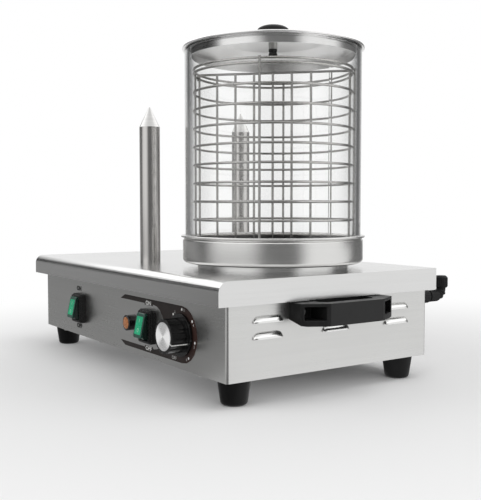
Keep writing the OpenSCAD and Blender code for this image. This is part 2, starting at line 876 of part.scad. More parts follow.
module basket_floor() {
    color("silver") on_column(floor_low) difference() {
        cylinder(r = ring_r, h = floor_t, $fn = 128);
        translate([0, 0, -over]) cylinder(d = floor_hole_d, h = floor_t + 2 * over, $fn = 32);
        for (row = [1:floor_rows - 1], i = [0:6 * row - 1]) rotate(i * 60 / row)
            translate([row * floor_row_step, 0, -over])
            cylinder(d = floor_hole_d, h = floor_t + 2 * over, $fn = 32);
    }
}

lid_outline = concat(
    [[stud_d / 2 + fit, lid_top], [lid_skirt_r - lid_shoulder_in, lid_top],
    [lid_skirt_r - lid_t / 2, lid_lip_top], [lid_r - lid_bead_r, lid_lip_top]],
    arc(lid_r - lid_bead_r, glass_top + lid_bead_r, lid_bead_r, 70, -90),
    [[lid_skirt_r, glass_top], [lid_skirt_r, glass_top - lid_skirt_h],
    [lid_skirt_r - lid_t, glass_top - lid_skirt_h], [lid_skirt_r - lid_t, glass_top],
    [lid_skirt_r - lid_shoulder_in - lid_t / 2, lid_top - lid_t],
    [stud_d / 2 + fit, lid_top - lid_t]]);

module lid_pan() {
    color("silver") on_column() rotate_extrude($fn = 160) polygon(lid_outline);
}

module lid_knob() {
    rim = lid_knob_d / 2;
    dome = lid_knob_h - knob_stem_h - knob_under_h;
    color("black") on_column(lid_top) difference() {
        rotate_extrude($fn = 96) polygon(concat(
            [[0, 0], [knob_stem_d / 2, 0], [knob_stem_d / 2, knob_stem_h],
            [rim - knob_under_h / 2, knob_stem_h]],
            [for (i = [0:arc_steps]) let (a = i * 90 / arc_steps)
                [rim * cos(a), knob_stem_h + knob_under_h + dome * sin(a)]]));
        translate([0, 0, -over]) cylinder(d = stud_d + 2 * fit, h = knob_bore_depth + over, $fn = 48);
    }
}

// A stud with a spacer collar under the lid
module lid_stud() {
    low = lid_top - lid_t - spacer_h - lid_nut_h;
    color("silver") on_column() {
        translate([0, 0, low]) cylinder(d = stud_d, h = lid_top + knob_bore_depth - over - low,
            $fn = 48);
        translate([0, 0, lid_top - lid_t - spacer_h]) cylinder(d = spacer_d, h = spacer_h, $fn = 48);
    }
}

module lid_nut() {
    r = lid_nut_d / 2;
    low = lid_top - lid_t - spacer_h - lid_nut_h;
    color("black") on_column(low) difference() {
        rotate_extrude($fn = 64) polygon([
            [0, 0], [r, 0], [r, lid_nut_h * 3 / 8], [r - lid_nut_waist, lid_nut_h / 2],
            [r, lid_nut_h * 5 / 8], [r, lid_nut_h], [0, lid_nut_h]]);
        translate([0, 0, -over]) cylinder(d = stud_d + 2 * fit, h = lid_nut_h + 2 * over, $fn = 48);
    }
}

// The frame with its folded boot in front of the wall, and the case behind it
module switch_frame() {
    open_w = rocker_w + 2 * rocker_play;
    open_h = rocker_h + 2 * rocker_play;
    color("black") difference() {
        union() {
            linear_extrude(switch_frame_t) polygon(round_box(switch_w, switch_h, switch_corner_r));
            linear_extrude((switch_frame_t + boot_out) / 2) polygon(round_box(
                switch_w - boot_step, switch_h - boot_step, switch_corner_r));
            linear_extrude(boot_out) polygon(round_box(
                open_w + 2 * boot_wall, open_h + 2 * boot_wall + boot_step, switch_corner_r));
            translate([0, 0, -switch_back_l]) linear_extrude(switch_back_l)
                square([rocker_w, rocker_h], center = true);
        }
        translate([0, 0, rocker_root - over]) linear_extrude(boot_out + over)
            square([open_w, open_h], center = true);
        translate([0, 0, switch_back_wall - switch_back_l])
            linear_extrude(switch_back_l + rocker_root - switch_back_wall)
            square([rocker_w - 2 * switch_back_wall, rocker_h - 2 * switch_back_wall],
            center = true);
        translate([0, 0, rocker_root + rocker_pin_out]) rotate([0, 90, 0]) cylinder(
            d = rocker_pin_d + 2 * run_fit, h = open_w + 2 * rocker_pin_l + fit, center = true,
            $fn = 48);
        for (i = [-1, 0, 1]) translate([0, i * terminal_step, -switch_back_l])
            cube([terminal_w + 2 * fit, terminal_t + 2 * fit, 3 * over], center = true);
    }
}

module switch_terminals() {
    color("goldenrod") placed() for (x = [-left_switch_x, right_switch_x], i = [-1, 0, 1])
        on_front(x) translate([0, i * terminal_step, switch_back_wall - switch_back_l
        - terminal_l / 2]) cube([terminal_w, terminal_t, terminal_l], center = true);
}

// The rocker at rest leans with its upper end in, which is its ON side
module switch_rocker() {
    pin_out = rocker_root + rocker_pin_out;
    face = rocker_out - pin_out;
    half = rocker_h / 2;
    color("mediumseagreen") translate([0, 0, pin_out]) rotate([-rocker_tilt, 0, 0]) {
        rotate([90, 0, 90]) translate([0, 0, -rocker_w / 2]) linear_extrude(rocker_w)
            polygon(concat([[rocker_pin_d - half, -rocker_pin_d / 2], [half - rocker_pin_d,
            -rocker_pin_d / 2], [half, 0]],
            arc(half - rocker_edge_r, face - rocker_edge_r, rocker_edge_r, 0, 90),
            arc(rocker_edge_r - half, face - rocker_edge_r, rocker_edge_r, 90, 180),
            [[-half, 0]]));
        rotate([0, 90, 0]) cylinder(d = rocker_pin_d, h = rocker_w + 2 * (rocker_play + rocker_pin_l)
            - fit, center = true, $fn = 48);
    }
}

module left_switch_frame() {
    placed() on_front(-left_switch_x) switch_frame();
}

module left_switch_rocker() {
    placed() on_front(-left_switch_x) switch_rocker();
}

module right_switch_frame() {
    placed() on_front(right_switch_x) switch_frame();
}

module right_switch_rocker() {
    placed() on_front(right_switch_x) switch_rocker();
}

module lamp_body() {
    color("black") placed() on_front(lamp_x) difference() {
        union() {
            cylinder(d = lamp_d, h = lamp_reach - lamp_seat / 2, $fn = 64);
            translate([0, 0, -lamp_stem_l]) cylinder(d = lamp_stem_d, h = lamp_stem_l + over, $fn = 48);
        }
        translate([0, 0, lamp_reach - 2 * lamp_seat])
            cylinder(d = lens_d + 2 * fit, h = 2 * lamp_seat + over, $fn = 64);
    }
}

module lamp_lens() {
    r = lens_d / 2;
    color("orange") placed() on_front(lamp_x) rotate_extrude($fn = 64) polygon(concat(
        [[0, lamp_reach - 2 * lamp_seat], [r, lamp_reach - 2 * lamp_seat]],
        [for (i = [0:arc_steps]) let (a = i * 90 / arc_steps)
            [r * cos(a), lamp_reach - lens_dome + lens_dome * sin(a)]]));
}

dial_low = label_t + dial_gap;
grip_top = dial_reach - dial_cap_t / 2;

module dial_knob() {
    color("black") placed() on_front(dial_x) difference() {
        union() {
            translate([0, 0, dial_low]) cylinder(d = dial_skirt_d, h = skirt_t, $fn = 96);
            translate([0, 0, dial_low]) cylinder(d = dial_grip_d, h = grip_top - dial_low, $fn = 96);
        }
        for (i = [0:flute_count - 1]) rotate((i + 1 / 2) * 360 / flute_count - pointer_turn)
            translate([dial_grip_d / 2 + flute_d / 2 - flute_sink, 0, dial_low + skirt_t])
            cylinder(d = flute_d, h = dial_reach + over, $fn = 32);
        translate([0, 0, grip_top - dial_cap_t / 2])
            cylinder(d = dial_cap_d + 2 * fit, h = dial_cap_t + over, $fn = 64);
        cylinder(d = shaft_d + 2 * run_fit, h = grip_top - 2 * dial_cap_t, $fn = 48);
        cylinder(d = dial_hollow_d, h = bush_l + bush_nut_h, $fn = 64);
        rotate(-pointer_turn) translate([dial_cap_d / 2, -pointer_w / 2 - fit,
            dial_low + skirt_t]) cube([dial_grip_d / 2, pointer_w + 2 * fit, dial_reach]);
    }
}

module dial_cap() {
    color("whitesmoke") placed() on_front(dial_x, control_z, grip_top - dial_cap_t / 2)
        cylinder(d = dial_cap_d, h = dial_cap_t, $fn = 64);
}

// A white strip let into the side of the grip
module dial_pointer() {
    color("white") placed() on_front(dial_x) rotate(-pointer_turn)
        translate([dial_cap_d / 2 + fit, -pointer_w / 2, dial_low + skirt_t])
        cube([dial_grip_d / 2 - dial_cap_d / 2 + pointer_t - fit, pointer_w,
        grip_top - dial_low - skirt_t]);
}

module thermostat_shaft() {
    color("silver") placed() on_front(dial_x, control_z, -thermostat_l / 2)
        cylinder(d = shaft_d, h = thermostat_l / 2 + grip_top - 3 * dial_cap_t, $fn = 48);
}

module thermostat_body() {
    color("tan") placed() on_front(dial_x) difference() {
        union() {
            translate([0, 0, -sheet_t - thermostat_l])
                cylinder(d = thermostat_d, h = thermostat_l, $fn = 64);
            translate([0, 0, -2 * sheet_t]) linear_extrude(sheet_t) polygon(round_box(
                thermostat_plate_w, thermostat_plate_h, wall_bend_r));
            translate([0, 0, -2 * sheet_t]) cylinder(d = bush_d, h = bush_l + 2 * sheet_t, $fn = 48);
        }
        translate([0, 0, -thermostat_l / 2 - fit]) cylinder(d = shaft_d + 2 * run_fit,
            h = thermostat_l, $fn = 48);
    }
}

module thermostat_nut() {
    color("darkgray") placed() on_front(dial_x) hex_nut(bush_nut_w, bush_nut_h, bush_d + 2 * fit);
}

// The two edges of a tab that juts into the bay of the label, at the height given
function label_tab(edge, into) = [
    [label_tab_x - label_tab_w / 2, edge], [label_tab_x - label_tab_w / 2, edge + into],
    [label_tab_x + label_tab_w / 2, edge + into], [label_tab_x + label_tab_w / 2, edge]];

function reversed(points) = [for (i = [len(points) - 1:-1:0]) points[i]];

// A band that runs round the column controls, open to the left with slanted ends
module control_label() {
    outer = label_h / 2;
    inner = outer - label_band;
    color([0.2, 0.17, 0.16]) placed() on_front(0) difference() {
        linear_extrude(label_t) polygon(concat(
            arc(dial_x, 0, outer, 90, -90),
            [[label_left + label_cut, -outer], [label_left, -inner]],
            label_tab(-inner, label_tab_h),
            arc(label_bay_x, 0, inner, -90, 90),
            reversed(label_tab(inner, -label_tab_h)),
            [[label_left, inner], [label_left + label_cut, outer]]));
        translate([dial_x, 0, -over]) cylinder(d = label_hole_d, h = label_t + 2 * over, $fn = 48);
    }
}

// A quarter ring in the x and y plane, from the x axis to the y axis
module pipe_bend(r_out, r_in, bend) {
    rotate_extrude(angle = 90, $fn = 64) translate([bend, 0]) difference() {
        circle(r = r_out, $fn = 48);
        circle(r = r_in, $fn = 48);
    }
}

module pipe_run(length, r_out, r_in) {
    difference() {
        cylinder(r = r_out, h = length, $fn = 48);
        translate([0, 0, -over]) cylinder(r = r_in, h = length + 2 * over, $fn = 48);
    }
}

// From the basin floor down, to the right, and back through the rear panel
module drain_pipe() {
    r = drain_pipe_d / 2;
    bore = r - pipe_wall;
    bend = pipe_bend_r;
    hole_x = column_x + drain_hole_in;
    run_x = drain_x - hole_x - 2 * bend;
    run_y = rear_y + drain_pipe_tail - drain_hole_y - bend;
    color("silver") placed() translate([hole_x, drain_hole_y, drain_z]) {
        translate([0, 0, bend]) pipe_run(basin_low + sheet_t - drain_z - bend, r, bore);
        translate([bend, 0, bend]) rotate([90, 0, 0]) rotate(180) pipe_bend(r, bore, bend);
        translate([bend, 0, 0]) rotate([0, 90, 0]) pipe_run(run_x, r, bore);
        translate([bend + run_x, bend, 0]) rotate(-90) pipe_bend(r, bore, bend);
        translate([2 * bend + run_x, bend, 0]) rotate([-90, 0, 0]) pipe_run(run_y, r, bore);
    }
}

module drain_nut() {
    color("silver") placed() on_rear(drain_x, drain_z, sheet_t)
        hex_nut(drain_lock_w, drain_lock_h, drain_pipe_d + 2 * fit);
}

// A round body with ribs for the fingers
module ribbed_grip(d, h, edge) {
    r = d / 2;
    rotate_extrude($fn = 64) polygon([
        [0, 0], [r - edge / 2, 0], [r, edge / 2], [r, h - edge], [r - edge, h], [0, h]]);
    for (i = [0:drain_rib_count - 1]) rotate(i * 360 / drain_rib_count)
        translate([r - drain_rib_d / 4, 0, edge * 3 / 4])
        cylinder(d = drain_rib_d, h = h - 2 * edge, $fn = 24);
}

drain_body_y = sheet_t + drain_lock_h;

module drain_body() {
    color("dimgray") placed() on_rear(drain_x, drain_z, drain_body_y) difference() {
        ribbed_grip(drain_body_d, drain_body_l, cap_edge);
        translate([0, 0, -over]) cylinder(d = drain_pipe_d + 2 * fit,
            h = drain_pipe_tail - drain_body_y + fit + over, $fn = 48);
        translate([0, 0, -over]) cylinder(d = drain_spigot_d + 2 * run_fit,
            h = drain_body_l + 2 * over, $fn = 48);
    }
}

// The elbow swings about the line of the pipe, and its cap screws on to the upright end
module drain_elbow() {
    bend = elbow_bend_r;
    start = drain_body_y + drain_body_l + cap_gap;
    bore = drain_spigot_d / 2 - pipe_wall;
    color("dimgray") placed() {
        on_rear(drain_x, drain_z, start - spigot_l) pipe_run(spigot_l, drain_spigot_d / 2, bore);
        on_rear(drain_x, drain_z, start) pipe_run(drain_out - bend - start, elbow_d / 2, bore);
        translate([drain_x, rear_y + drain_out - bend, drain_z + bend]) rotate([90, 0, 90])
            rotate(-90) pipe_bend(elbow_neck_d / 2, bore, bend);
        translate([drain_x, rear_y + drain_out, drain_z + bend])
            pipe_run(spigot_l, drain_spigot_d / 2, bore);
    }
}

module drain_cap() {
    color("dimgray") placed()
        translate([drain_x, rear_y + drain_out, drain_z + elbow_bend_r + cap_gap]) difference() {
            ribbed_grip(drain_cap_d - drain_rib_d / 2, drain_cap_h, cap_edge);
            translate([0, 0, -over]) cylinder(d = drain_spigot_d + 2 * run_fit,
                h = spigot_l + over, $fn = 48);
        }
}

module cable_gland() {
    color("black") placed() on_rear(-gland_x, gland_z, sheet_t) difference() {
        union() {
            cylinder(d = gland_hex_w / cos(30), h = gland_hex_h, $fn = 6);
            translate([0, 0, gland_hex_h]) rotate_extrude($fn = 64) polygon(concat(
                [[0, 0], [gland_d / 2, 0], [gland_d / 2, gland_dome_h / 2]],
                [for (i = [1:arc_steps]) let (a = i * 60 / arc_steps)
                    [gland_d / 2 * cos(a), gland_dome_h / 2 * (1 + sin(a) / sin(60))]],
                [[0, gland_dome_h]]));
            translate([0, 0, -gland_thread_l]) cylinder(d = gland_thread_d,
                h = gland_thread_l + gland_hex_h / 2, $fn = 48);
        }
        translate([0, 0, -gland_thread_l - over]) cylinder(d = gland_bore_d,
            h = gland_thread_l + gland_hex_h + gland_dome_h + 2 * over, $fn = 48);
    }
}

module gland_nut() {
    color("black") placed() on_rear(-gland_x, gland_z, -nut_h)
        hex_nut(gland_hex_w, nut_h, gland_thread_d + 2 * fit);
}

module terminal_block() {
    step = block_l / block_ways;
    color("ivory") placed() translate([block_x - block_l / 2, block_y - block_w / 2, base_top])
        difference() {
            cube([block_l, block_w, block_h]);
            for (i = [0:block_ways - 1], y = [block_w / 4, block_w * 3 / 4])
                translate([(i + 1 / 2) * step, y, block_h / 2])
                cylinder(d = block_screw_d, h = block_h, $fn = 32);
            for (i = [1:block_ways - 1]) translate([i * step - sheet_t / 2, -over, block_h * 3 / 4])
                cube([sheet_t, block_w + 2 * over, block_h]);
        }
}

top_cover();
cabinet_shell();
rear_panel();
base_plate();
base_screws();
rear_screws();
front_left_foot();
front_right_foot();
rear_left_foot();
rear_right_foot();
foot_screws();
right_handle();
left_handle();
handle_screws();
front_spike();
rear_spike();
spike_nuts();
spike_heaters();
water_basin();
basin_heater();
heater_nuts();
seat_ring();
seat_seal();
glass_tube();
basket_rings();
basket_uprights();
basket_divider();
basket_floor();
lid_pan();
lid_knob();
lid_stud();
lid_nut();
left_switch_frame();
left_switch_rocker();
right_switch_frame();
right_switch_rocker();
switch_terminals();
lamp_body();
lamp_lens();
dial_knob();
dial_cap();
dial_pointer();
thermostat_shaft();
thermostat_body();
thermostat_nut();
control_label();
drain_pipe();
drain_nut();
drain_body();
drain_elbow();
drain_cap();
cable_gland();
gland_nut();
terminal_block();
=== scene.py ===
import json
import math

import bpy
from mathutils import Matrix, Vector


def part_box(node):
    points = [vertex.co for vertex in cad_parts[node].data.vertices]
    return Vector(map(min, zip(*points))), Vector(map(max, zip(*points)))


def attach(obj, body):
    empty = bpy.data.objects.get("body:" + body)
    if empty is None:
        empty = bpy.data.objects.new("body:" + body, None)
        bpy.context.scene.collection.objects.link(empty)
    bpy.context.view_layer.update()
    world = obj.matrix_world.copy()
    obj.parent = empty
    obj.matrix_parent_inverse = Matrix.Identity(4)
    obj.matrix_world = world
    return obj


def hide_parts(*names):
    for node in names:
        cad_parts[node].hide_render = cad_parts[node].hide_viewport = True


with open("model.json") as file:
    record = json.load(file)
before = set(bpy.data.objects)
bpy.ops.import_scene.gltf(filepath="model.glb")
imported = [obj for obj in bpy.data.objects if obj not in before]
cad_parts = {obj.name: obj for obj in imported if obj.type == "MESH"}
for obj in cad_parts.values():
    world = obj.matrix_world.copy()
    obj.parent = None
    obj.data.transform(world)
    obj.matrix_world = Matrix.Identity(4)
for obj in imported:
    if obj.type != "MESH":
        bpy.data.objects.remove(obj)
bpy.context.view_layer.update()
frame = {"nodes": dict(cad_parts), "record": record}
scene = bpy.context.scene

# Places and sizes of the source, in millimetres in the shared frame
MM = 0.001
FRAME_Y = -16.3
FRONT_Y = -139 + FRAME_Y
WALL_X = 240
CONTROL_Z = 64.4
COLUMN = (127.2, FRAME_Y)
DIAL_X = 154.5
SWITCH_X = {"spike_switch": -113.5, "steam_switch": 82.0}
ROCKER_ROOT = 5
ROCKER_TILT = -12
DRAIN = {"x": 220, "y": 170.7, "z": 92, "bend": 9, "neck": 11}
LOUVRE = {"w": 36, "out": 4.6, "h": 6.6, "step_y": 89.5, "step_z": 16.4, "z": 68}
SIDES = ((1, "right"), (-1, "left"))

# Prints: how far they stand off the front wall, on the label and on the bare panel,
# how thick the letters are, and where the prints are
LABEL_OUT = 0.42
PANEL_OUT = 0.03
PRINT_T = 0.03
LABEL_PRINT_X = 79
LEFT_PRINT_X = -121
DIAL_MARK_R = 27.0
DIAL_MARKS = {"1": 190, "2": 133, "3": 90, "4": 38, "5": -11, "6": -59.5}
DIGIT_LAG = 10

# Skin of the boot on a rocker: width, height and distance from the root of the rocker
SKIN = [(19.6, 28.6, 7.45), (19.6, 28.6, 7.9), (18.7, 27.7, 8.15), (19.5, 28.5, 8.4),
        (18.7, 27.7, 8.65), (19.4, 28.4, 8.9), (19.0, 28.0, 9.4), (17.8, 26.8, 9.68)]
FACE_OUT = 9.73
MARK_OUT = 9.82

# The pan under the glass: radii, and heights above the table
SEAT = {"r": 105.5, "wall": 1.2, "neck": 87.65, "neck_low": 132.5, "collar_top": 140.5,
        "floor": 141.7, "low": 134.9, "corner": 5, "shoulder": 160.3, "round": 2.5,
        "step": 0.9, "bead": 1.1, "top": 166.5}
SEAT_SIDES = 160

# The hoods: how far they reach past the louvres of the source to each side, outward and
# upward, how far below them they start, and the thickness of their sheet
HOOD_OVER = {"w": 0.6, "out": 0.2, "h": 0.5}
HOOD_SINK = 0.15
HOOD_T = 0.6
HOOD_ROWS = 9
HOOD_STEPS = 32

HANDLE_PAD = {"w": 76, "h": 11.5, "corner": 2, "t": 0.6, "out": 0.32, "below_top": 5.2}
DRAIN_RING_T = 1.5
DRAIN_RING_TURNS = (6, 32, 58)
DRAIN_RING_STEPS = 32
CORNER_STEPS = 6

# Depths of the bumps in a surface, in metres
GROOVE = 0.00003
FILM_GRAIN = 0.00004
METAL_GRAIN = 0.00005
SKIN_GRAIN = 0.00006
GLASS_WAVE = 0.0004

CAMERA_LENS = 56.66
CAMERA_SENSOR = 36
CAMERA_PLACE = (0.87175, -0.57015, 0.20058)
CAMERA_RIGHT = (0.56372, 0.82597, 0.0)
CAMERA_UP = (-0.04631, 0.03161, 0.99843)

# What polished metal sees around the object: (x, y) of the middle of a patch of
# brightness, the cosines where it starts and where it is full, and how much it adds.
# The second list is what it sees mirrored from the floor.
SURROUND_BASE = 0.18
SURROUND_LOBES = [
    (-0.826, 0.563, 0.84, 0.955, 0.72),
    (0.866, 0.5, 0.743, 0.96, 0.78),
    (0.035, -0.999, 0.68, 0.985, 0.84),
    (-0.985, -0.17, 0.8, 0.98, 0.12),
]
FLOOR_LOBES = [
    (-0.826, 0.563, 0.84, 0.955, 0.72),
    (0.74, 0.67, 0.72, 0.93, 0.82),
    (0.035, -0.999, 0.68, 0.985, 0.4),
    (-0.985, -0.17, 0.8, 0.98, 0.12),
]
DIFFUSE_SKY = 0.58

# The floor, in metres: half its side, and the middles of its fade and of its reflections
FLOOR_HALF = 8.0
FADE_CENTRE = (0.11, 0.03, 0.0)
MIRROR_CENTRE = (0.15, -0.155, 0)


# ---------------------------------------------------------------- camera

def place_camera():
    """The camera that was fitted to the photograph."""
    data = bpy.data.cameras.new("camera")
    data.lens = CAMERA_LENS
    data.sensor_width = CAMERA_SENSOR
    data.sensor_fit = "AUTO"
    camera = bpy.data.objects.new("camera", data)
    scene.collection.objects.link(camera)
    right, up = Vector(CAMERA_RIGHT), Vector(CAMERA_UP)
    back = right.cross(up).normalized()
    matrix = Matrix((right, up, back)).transposed().to_4x4()
    matrix.translation = Vector(CAMERA_PLACE)
    camera.matrix_world = matrix
    data.clip_start = 0.01
    data.clip_end = 50
    scene.camera = camera


# ---------------------------------------------------------------- shader helpers

class Net:
    """A node tree with short names for the few kinds of node in use."""

    def __init__(self, tree):
        self.tree = tree

    def new(self, kind, **settings):
        node = self.tree.nodes.new(kind)
        for key, value in settings.items():
            setattr(node, key, value)
        return node

    def link(self, a, b):
        self.tree.links.new(a, b)

    def feed(self, value, socket):
        if isinstance(value, (int, float, tuple)):
            socket.default_value = value
        else:
            self.link(value, socket)

    def math(self, operation, a, b=0.0):
        node = self.new("ShaderNodeMath", operation=operation)
        self.feed(a, node.inputs[0])
        self.feed(b, node.inputs[1])
        return node.outputs[0]

    def vector(self, operation, a, b=(0.0, 0.0, 0.0)):
        node = self.new("ShaderNodeVectorMath", operation=operation)
        self.feed(a, node.inputs[0])
        self.feed(b, node.inputs[1])
        scalar = operation in ("LENGTH", "DOT_PRODUCT")
        return node.outputs["Value" if scalar else "Vector"]

    def spread(self, value, low, high, start=0.3, end=0.7, smooth=False):
        """The value from start to end, mapped to low to high."""
        node = self.new("ShaderNodeMapRange")
        node.interpolation_type = "SMOOTHSTEP" if smooth else "LINEAR"
        node.inputs["From Min"].default_value = start
        node.inputs["From Max"].default_value = end
        self.feed(low, node.inputs["To Min"])
        self.feed(high, node.inputs["To Max"])
        self.link(value, node.inputs["Value"])
        return node.outputs["Result"]

    def pick(self, factor, a, b):
        """a where the factor is 0 and b where it is 1, for plain values."""
        node = self.new("ShaderNodeMix", data_type="FLOAT")
        self.feed(factor, node.inputs["Factor"])
        self.feed(a, node.inputs["A"])
        self.feed(b, node.inputs["B"])
        return node.outputs["Result"]

    def surround(self, direction, lobes=SURROUND_LOBES):
        """Brightness of the level surroundings in a direction."""
        flat = self.vector("NORMALIZE", self.vector("MULTIPLY", direction, (1.0, 1.0, 0.0)))
        total = SURROUND_BASE
        for x, y, start, full, gain in lobes:
            facing = self.vector("DOT_PRODUCT", flat, (x, y, 0.0))
            total = self.math("ADD", total, self.spread(facing, 0.0, gain, start, full, True))
        return total

    def seen_directly(self, path):
        """1 for rays that come straight or through glass, with no reflection on the way."""
        straight = self.math("MAXIMUM", path.outputs["Is Camera Ray"],
                             path.outputs["Is Transmission Ray"])
        plain = self.math("LESS_THAN", path.outputs["Glossy Depth"], 0.5)
        return self.math("MULTIPLY", straight, plain)

    def reflected(self, path):
        """1 for rays that were mirrored on their way."""
        mirrored = self.math("GREATER_THAN", path.outputs["Glossy Depth"], 0.5)
        clear = self.math("SUBTRACT", 1.0, path.outputs["Is Diffuse Ray"])
        return self.math("MULTIPLY", mirrored, clear)


class Shader(Net):
    """One material, built from a few kinds of node."""

    def __init__(self, name, color, metallic, rough, **sockets):
        self.material = bpy.data.materials.new(name)
        self.material.use_nodes = True
        super().__init__(self.material.node_tree)
        self.bsdf = self.tree.nodes["Principled BSDF"]
        self.bsdf.inputs["Base Color"].default_value = (*color, 1)
        self.bsdf.inputs["Metallic"].default_value = metallic
        self.bsdf.inputs["Roughness"].default_value = rough
        for key, value in sockets.items():
            self.bsdf.inputs[key.replace("_", " ")].default_value = value
        self.material.diffuse_color = (*color, 1)

    def coords(self, scale=(1, 1, 1), shift=(0, 0, 0)):
        """Object coordinates, moved by -shift, then scaled."""
        source = self.new("ShaderNodeTexCoord").outputs["Object"]
        return self.vector("MULTIPLY", self.vector("SUBTRACT", source, shift), scale)

    def rings(self, centre, axis, scale, along):
        """Coordinates that change with the distance from a line along axis."""
        flat = [1, 1, 1]
        flat["XYZ".index(axis)] = 0
        keep = [0, 0, 0]
        keep["XYZ".index(axis)] = along
        source = self.coords(shift=centre)
        radius = self.vector("LENGTH", self.vector("MULTIPLY", source, tuple(flat)))
        out = self.new("ShaderNodeCombineXYZ")
        self.link(self.math("MULTIPLY", radius, scale), out.inputs["X"])
        self.link(self.vector("DOT_PRODUCT", source, tuple(keep)), out.inputs["Y"])
        return out.outputs[0]

    def noise(self, vector, detail=2.0, rough=0.5):
        node = self.new("ShaderNodeTexNoise")
        node.inputs["Scale"].default_value = 1.0
        node.inputs["Detail"].default_value = detail
        node.inputs["Roughness"].default_value = rough
        self.link(vector, node.inputs["Vector"])
        return node.outputs["Fac"]

    def tint(self, value, low, high):
        """A colour between low and high."""
        return self.pick_color(value, (*low, 1), (*high, 1))

    def pick_color(self, factor, a, b):
        """Colour a where the factor is 0 and b where it is 1."""
        node = self.new("ShaderNodeMix", data_type="RGBA")
        self.feed(factor, node.inputs["Factor"])
        self.feed(a, node.inputs["A"])
        self.feed(b, node.inputs["B"])
        return node.outputs["Result"]

    def facing(self, axis):
        """1 on surfaces that face along an axis, 0 elsewhere."""
        normal = self.new("ShaderNodeTexCoord").outputs["Normal"]
        split = self.new("ShaderNodeSeparateXYZ")
        self.link(normal, split.inputs[0])
        size = self.math("ABSOLUTE", split.outputs[axis])
        return self.spread(size, 0.0, 1.0, 0.45, 0.55)

    def turned(self, amount, axis):
        """A finish whose gloss spreads across the lathe's rings."""
        self.bsdf.inputs["Anisotropic"].default_value = amount
        self.bsdf.inputs["Anisotropic Rotation"].default_value = 0.25
        tangent = self.new("ShaderNodeTangent", direction_type="RADIAL", axis=axis)
        self.link(tangent.outputs[0], self.bsdf.inputs["Tangent"])

    def color(self, value):
        self.link(value, self.bsdf.inputs["Base Color"])

    def rough(self, value):
        self.link(value, self.bsdf.inputs["Roughness"])

    def round_edges(self, radius):
        """Shades the edges as if they had a small radius."""
        node = self.new("ShaderNodeBevel", samples=6)
        node.inputs["Radius"].default_value = radius
        self.link(node.outputs[0], self.bsdf.inputs["Normal"])

    def bump(self, height, strength, distance):
        node = self.new("ShaderNodeBump")
        node.inputs["Strength"].default_value = strength
        node.inputs["Distance"].default_value = distance
        self.link(height, node.inputs["Height"])
        previous = self.bsdf.inputs["Normal"].links
        if previous:
            self.link(previous[0].from_socket, node.inputs["Normal"])
        self.link(node.outputs[0], self.bsdf.inputs["Normal"])


# ---------------------------------------------------------------- kinds of material

def scaled(color, factor):
    """A colour made darker or lighter."""
    return tuple(min(1, c * factor) for c in color)


def level_lines(s, along, across, detail):
    """Noise drawn out level along each upright face and along the top."""
    return s.pick(s.facing("X"), s.noise(s.coords((along, across, across)), detail=detail),
                  s.noise(s.coords((across, along, across)), detail=detail))


def brushed(name, color, rough, strength=0.12):
    """Sheet steel with fine lines that run level along each face."""
    s = Shader(name, color, 1.0, rough)
    fine = level_lines(s, 14, 2600, 2)
    broad = level_lines(s, 6, 260, 3)
    cloud = s.noise(s.coords((9, 9, 9)), detail=4, rough=0.6)
    s.color(s.tint(s.spread(broad, 0, 1), scaled(color, 0.985), scaled(color, 1.015)))
    base = s.spread(fine, rough - 0.03, rough + 0.03)
    s.rough(s.math("ADD", base, s.spread(cloud, -0.03, 0.03)))
    s.bump(fine, strength, GROOVE)
    return s


def spun(name, color, rough, centre, axis="Z", strength=0.3, grooves=3000, broad_tint=0.07,
         uneven=1.0):
    """Metal turned on a lathe: fine rings round the axis."""
    s = Shader(name, color, 1.0, rough)
    fine = s.noise(s.rings(centre, axis, grooves, 900), detail=2)
    broad = s.noise(s.rings(centre, axis, grooves / 9, 200), detail=3)
    cloud = s.noise(s.coords((14, 14, 14)), detail=4, rough=0.6)
    s.color(s.tint(s.spread(broad, 0, 1), scaled(color, 1 - broad_tint),
                   scaled(color, 1 + broad_tint)))
    base = s.spread(fine, rough - 0.05 * uneven, rough + 0.06 * uneven)
    s.rough(s.math("ADD", base, s.spread(cloud, -0.04 * uneven, 0.05 * uneven)))
    s.bump(fine, strength, GROOVE)
    return s


def drawn(name, color, rough):
    """Bar drawn through a die, with fine lines up along it and a turned, polished tip."""
    s = Shader(name, color, 1.0, rough)
    fine = s.noise(s.coords((1400, 1400, 5)), detail=2)
    broad = s.noise(s.coords((240, 240, 3)), detail=2)
    cloud = s.noise(s.coords((9, 9, 5)), detail=3)
    turned = s.noise(s.coords((5, 5, 1400)), detail=2)
    slope = s.new("ShaderNodeSeparateXYZ")
    s.link(s.new("ShaderNodeTexCoord").outputs["Normal"], slope.inputs[0])
    tip = s.spread(slope.outputs["Z"], 0.0, 1.0, 0.15, 0.25)
    bar = s.tint(s.spread(broad, 0, 1), scaled(color, 0.93), scaled(color, 1.05))
    polish = s.tint(s.spread(turned, 0, 1), (0.6, 0.595, 0.585), (0.68, 0.675, 0.665))
    s.color(s.pick_color(tip, bar, polish))
    base = s.pick(tip, s.spread(fine, rough - 0.02, rough + 0.02), 0.1)
    s.rough(s.math("ADD", base, s.spread(cloud, -0.01, 0.01)))
    s.bump(fine, 0.03, GROOVE)
    return s


def grainy(name, color, rough, scale, detail, gloss, tints, strength):
    """Bare metal with a fine even grain."""
    s = Shader(name, color, 1.0, rough)
    grain = s.noise(s.coords((scale, scale, scale)), detail=detail)
    s.color(s.tint(s.spread(grain, 0, 1), *tints))
    s.rough(s.spread(grain, *gloss))
    s.bump(grain, strength, METAL_GRAIN)
    return s


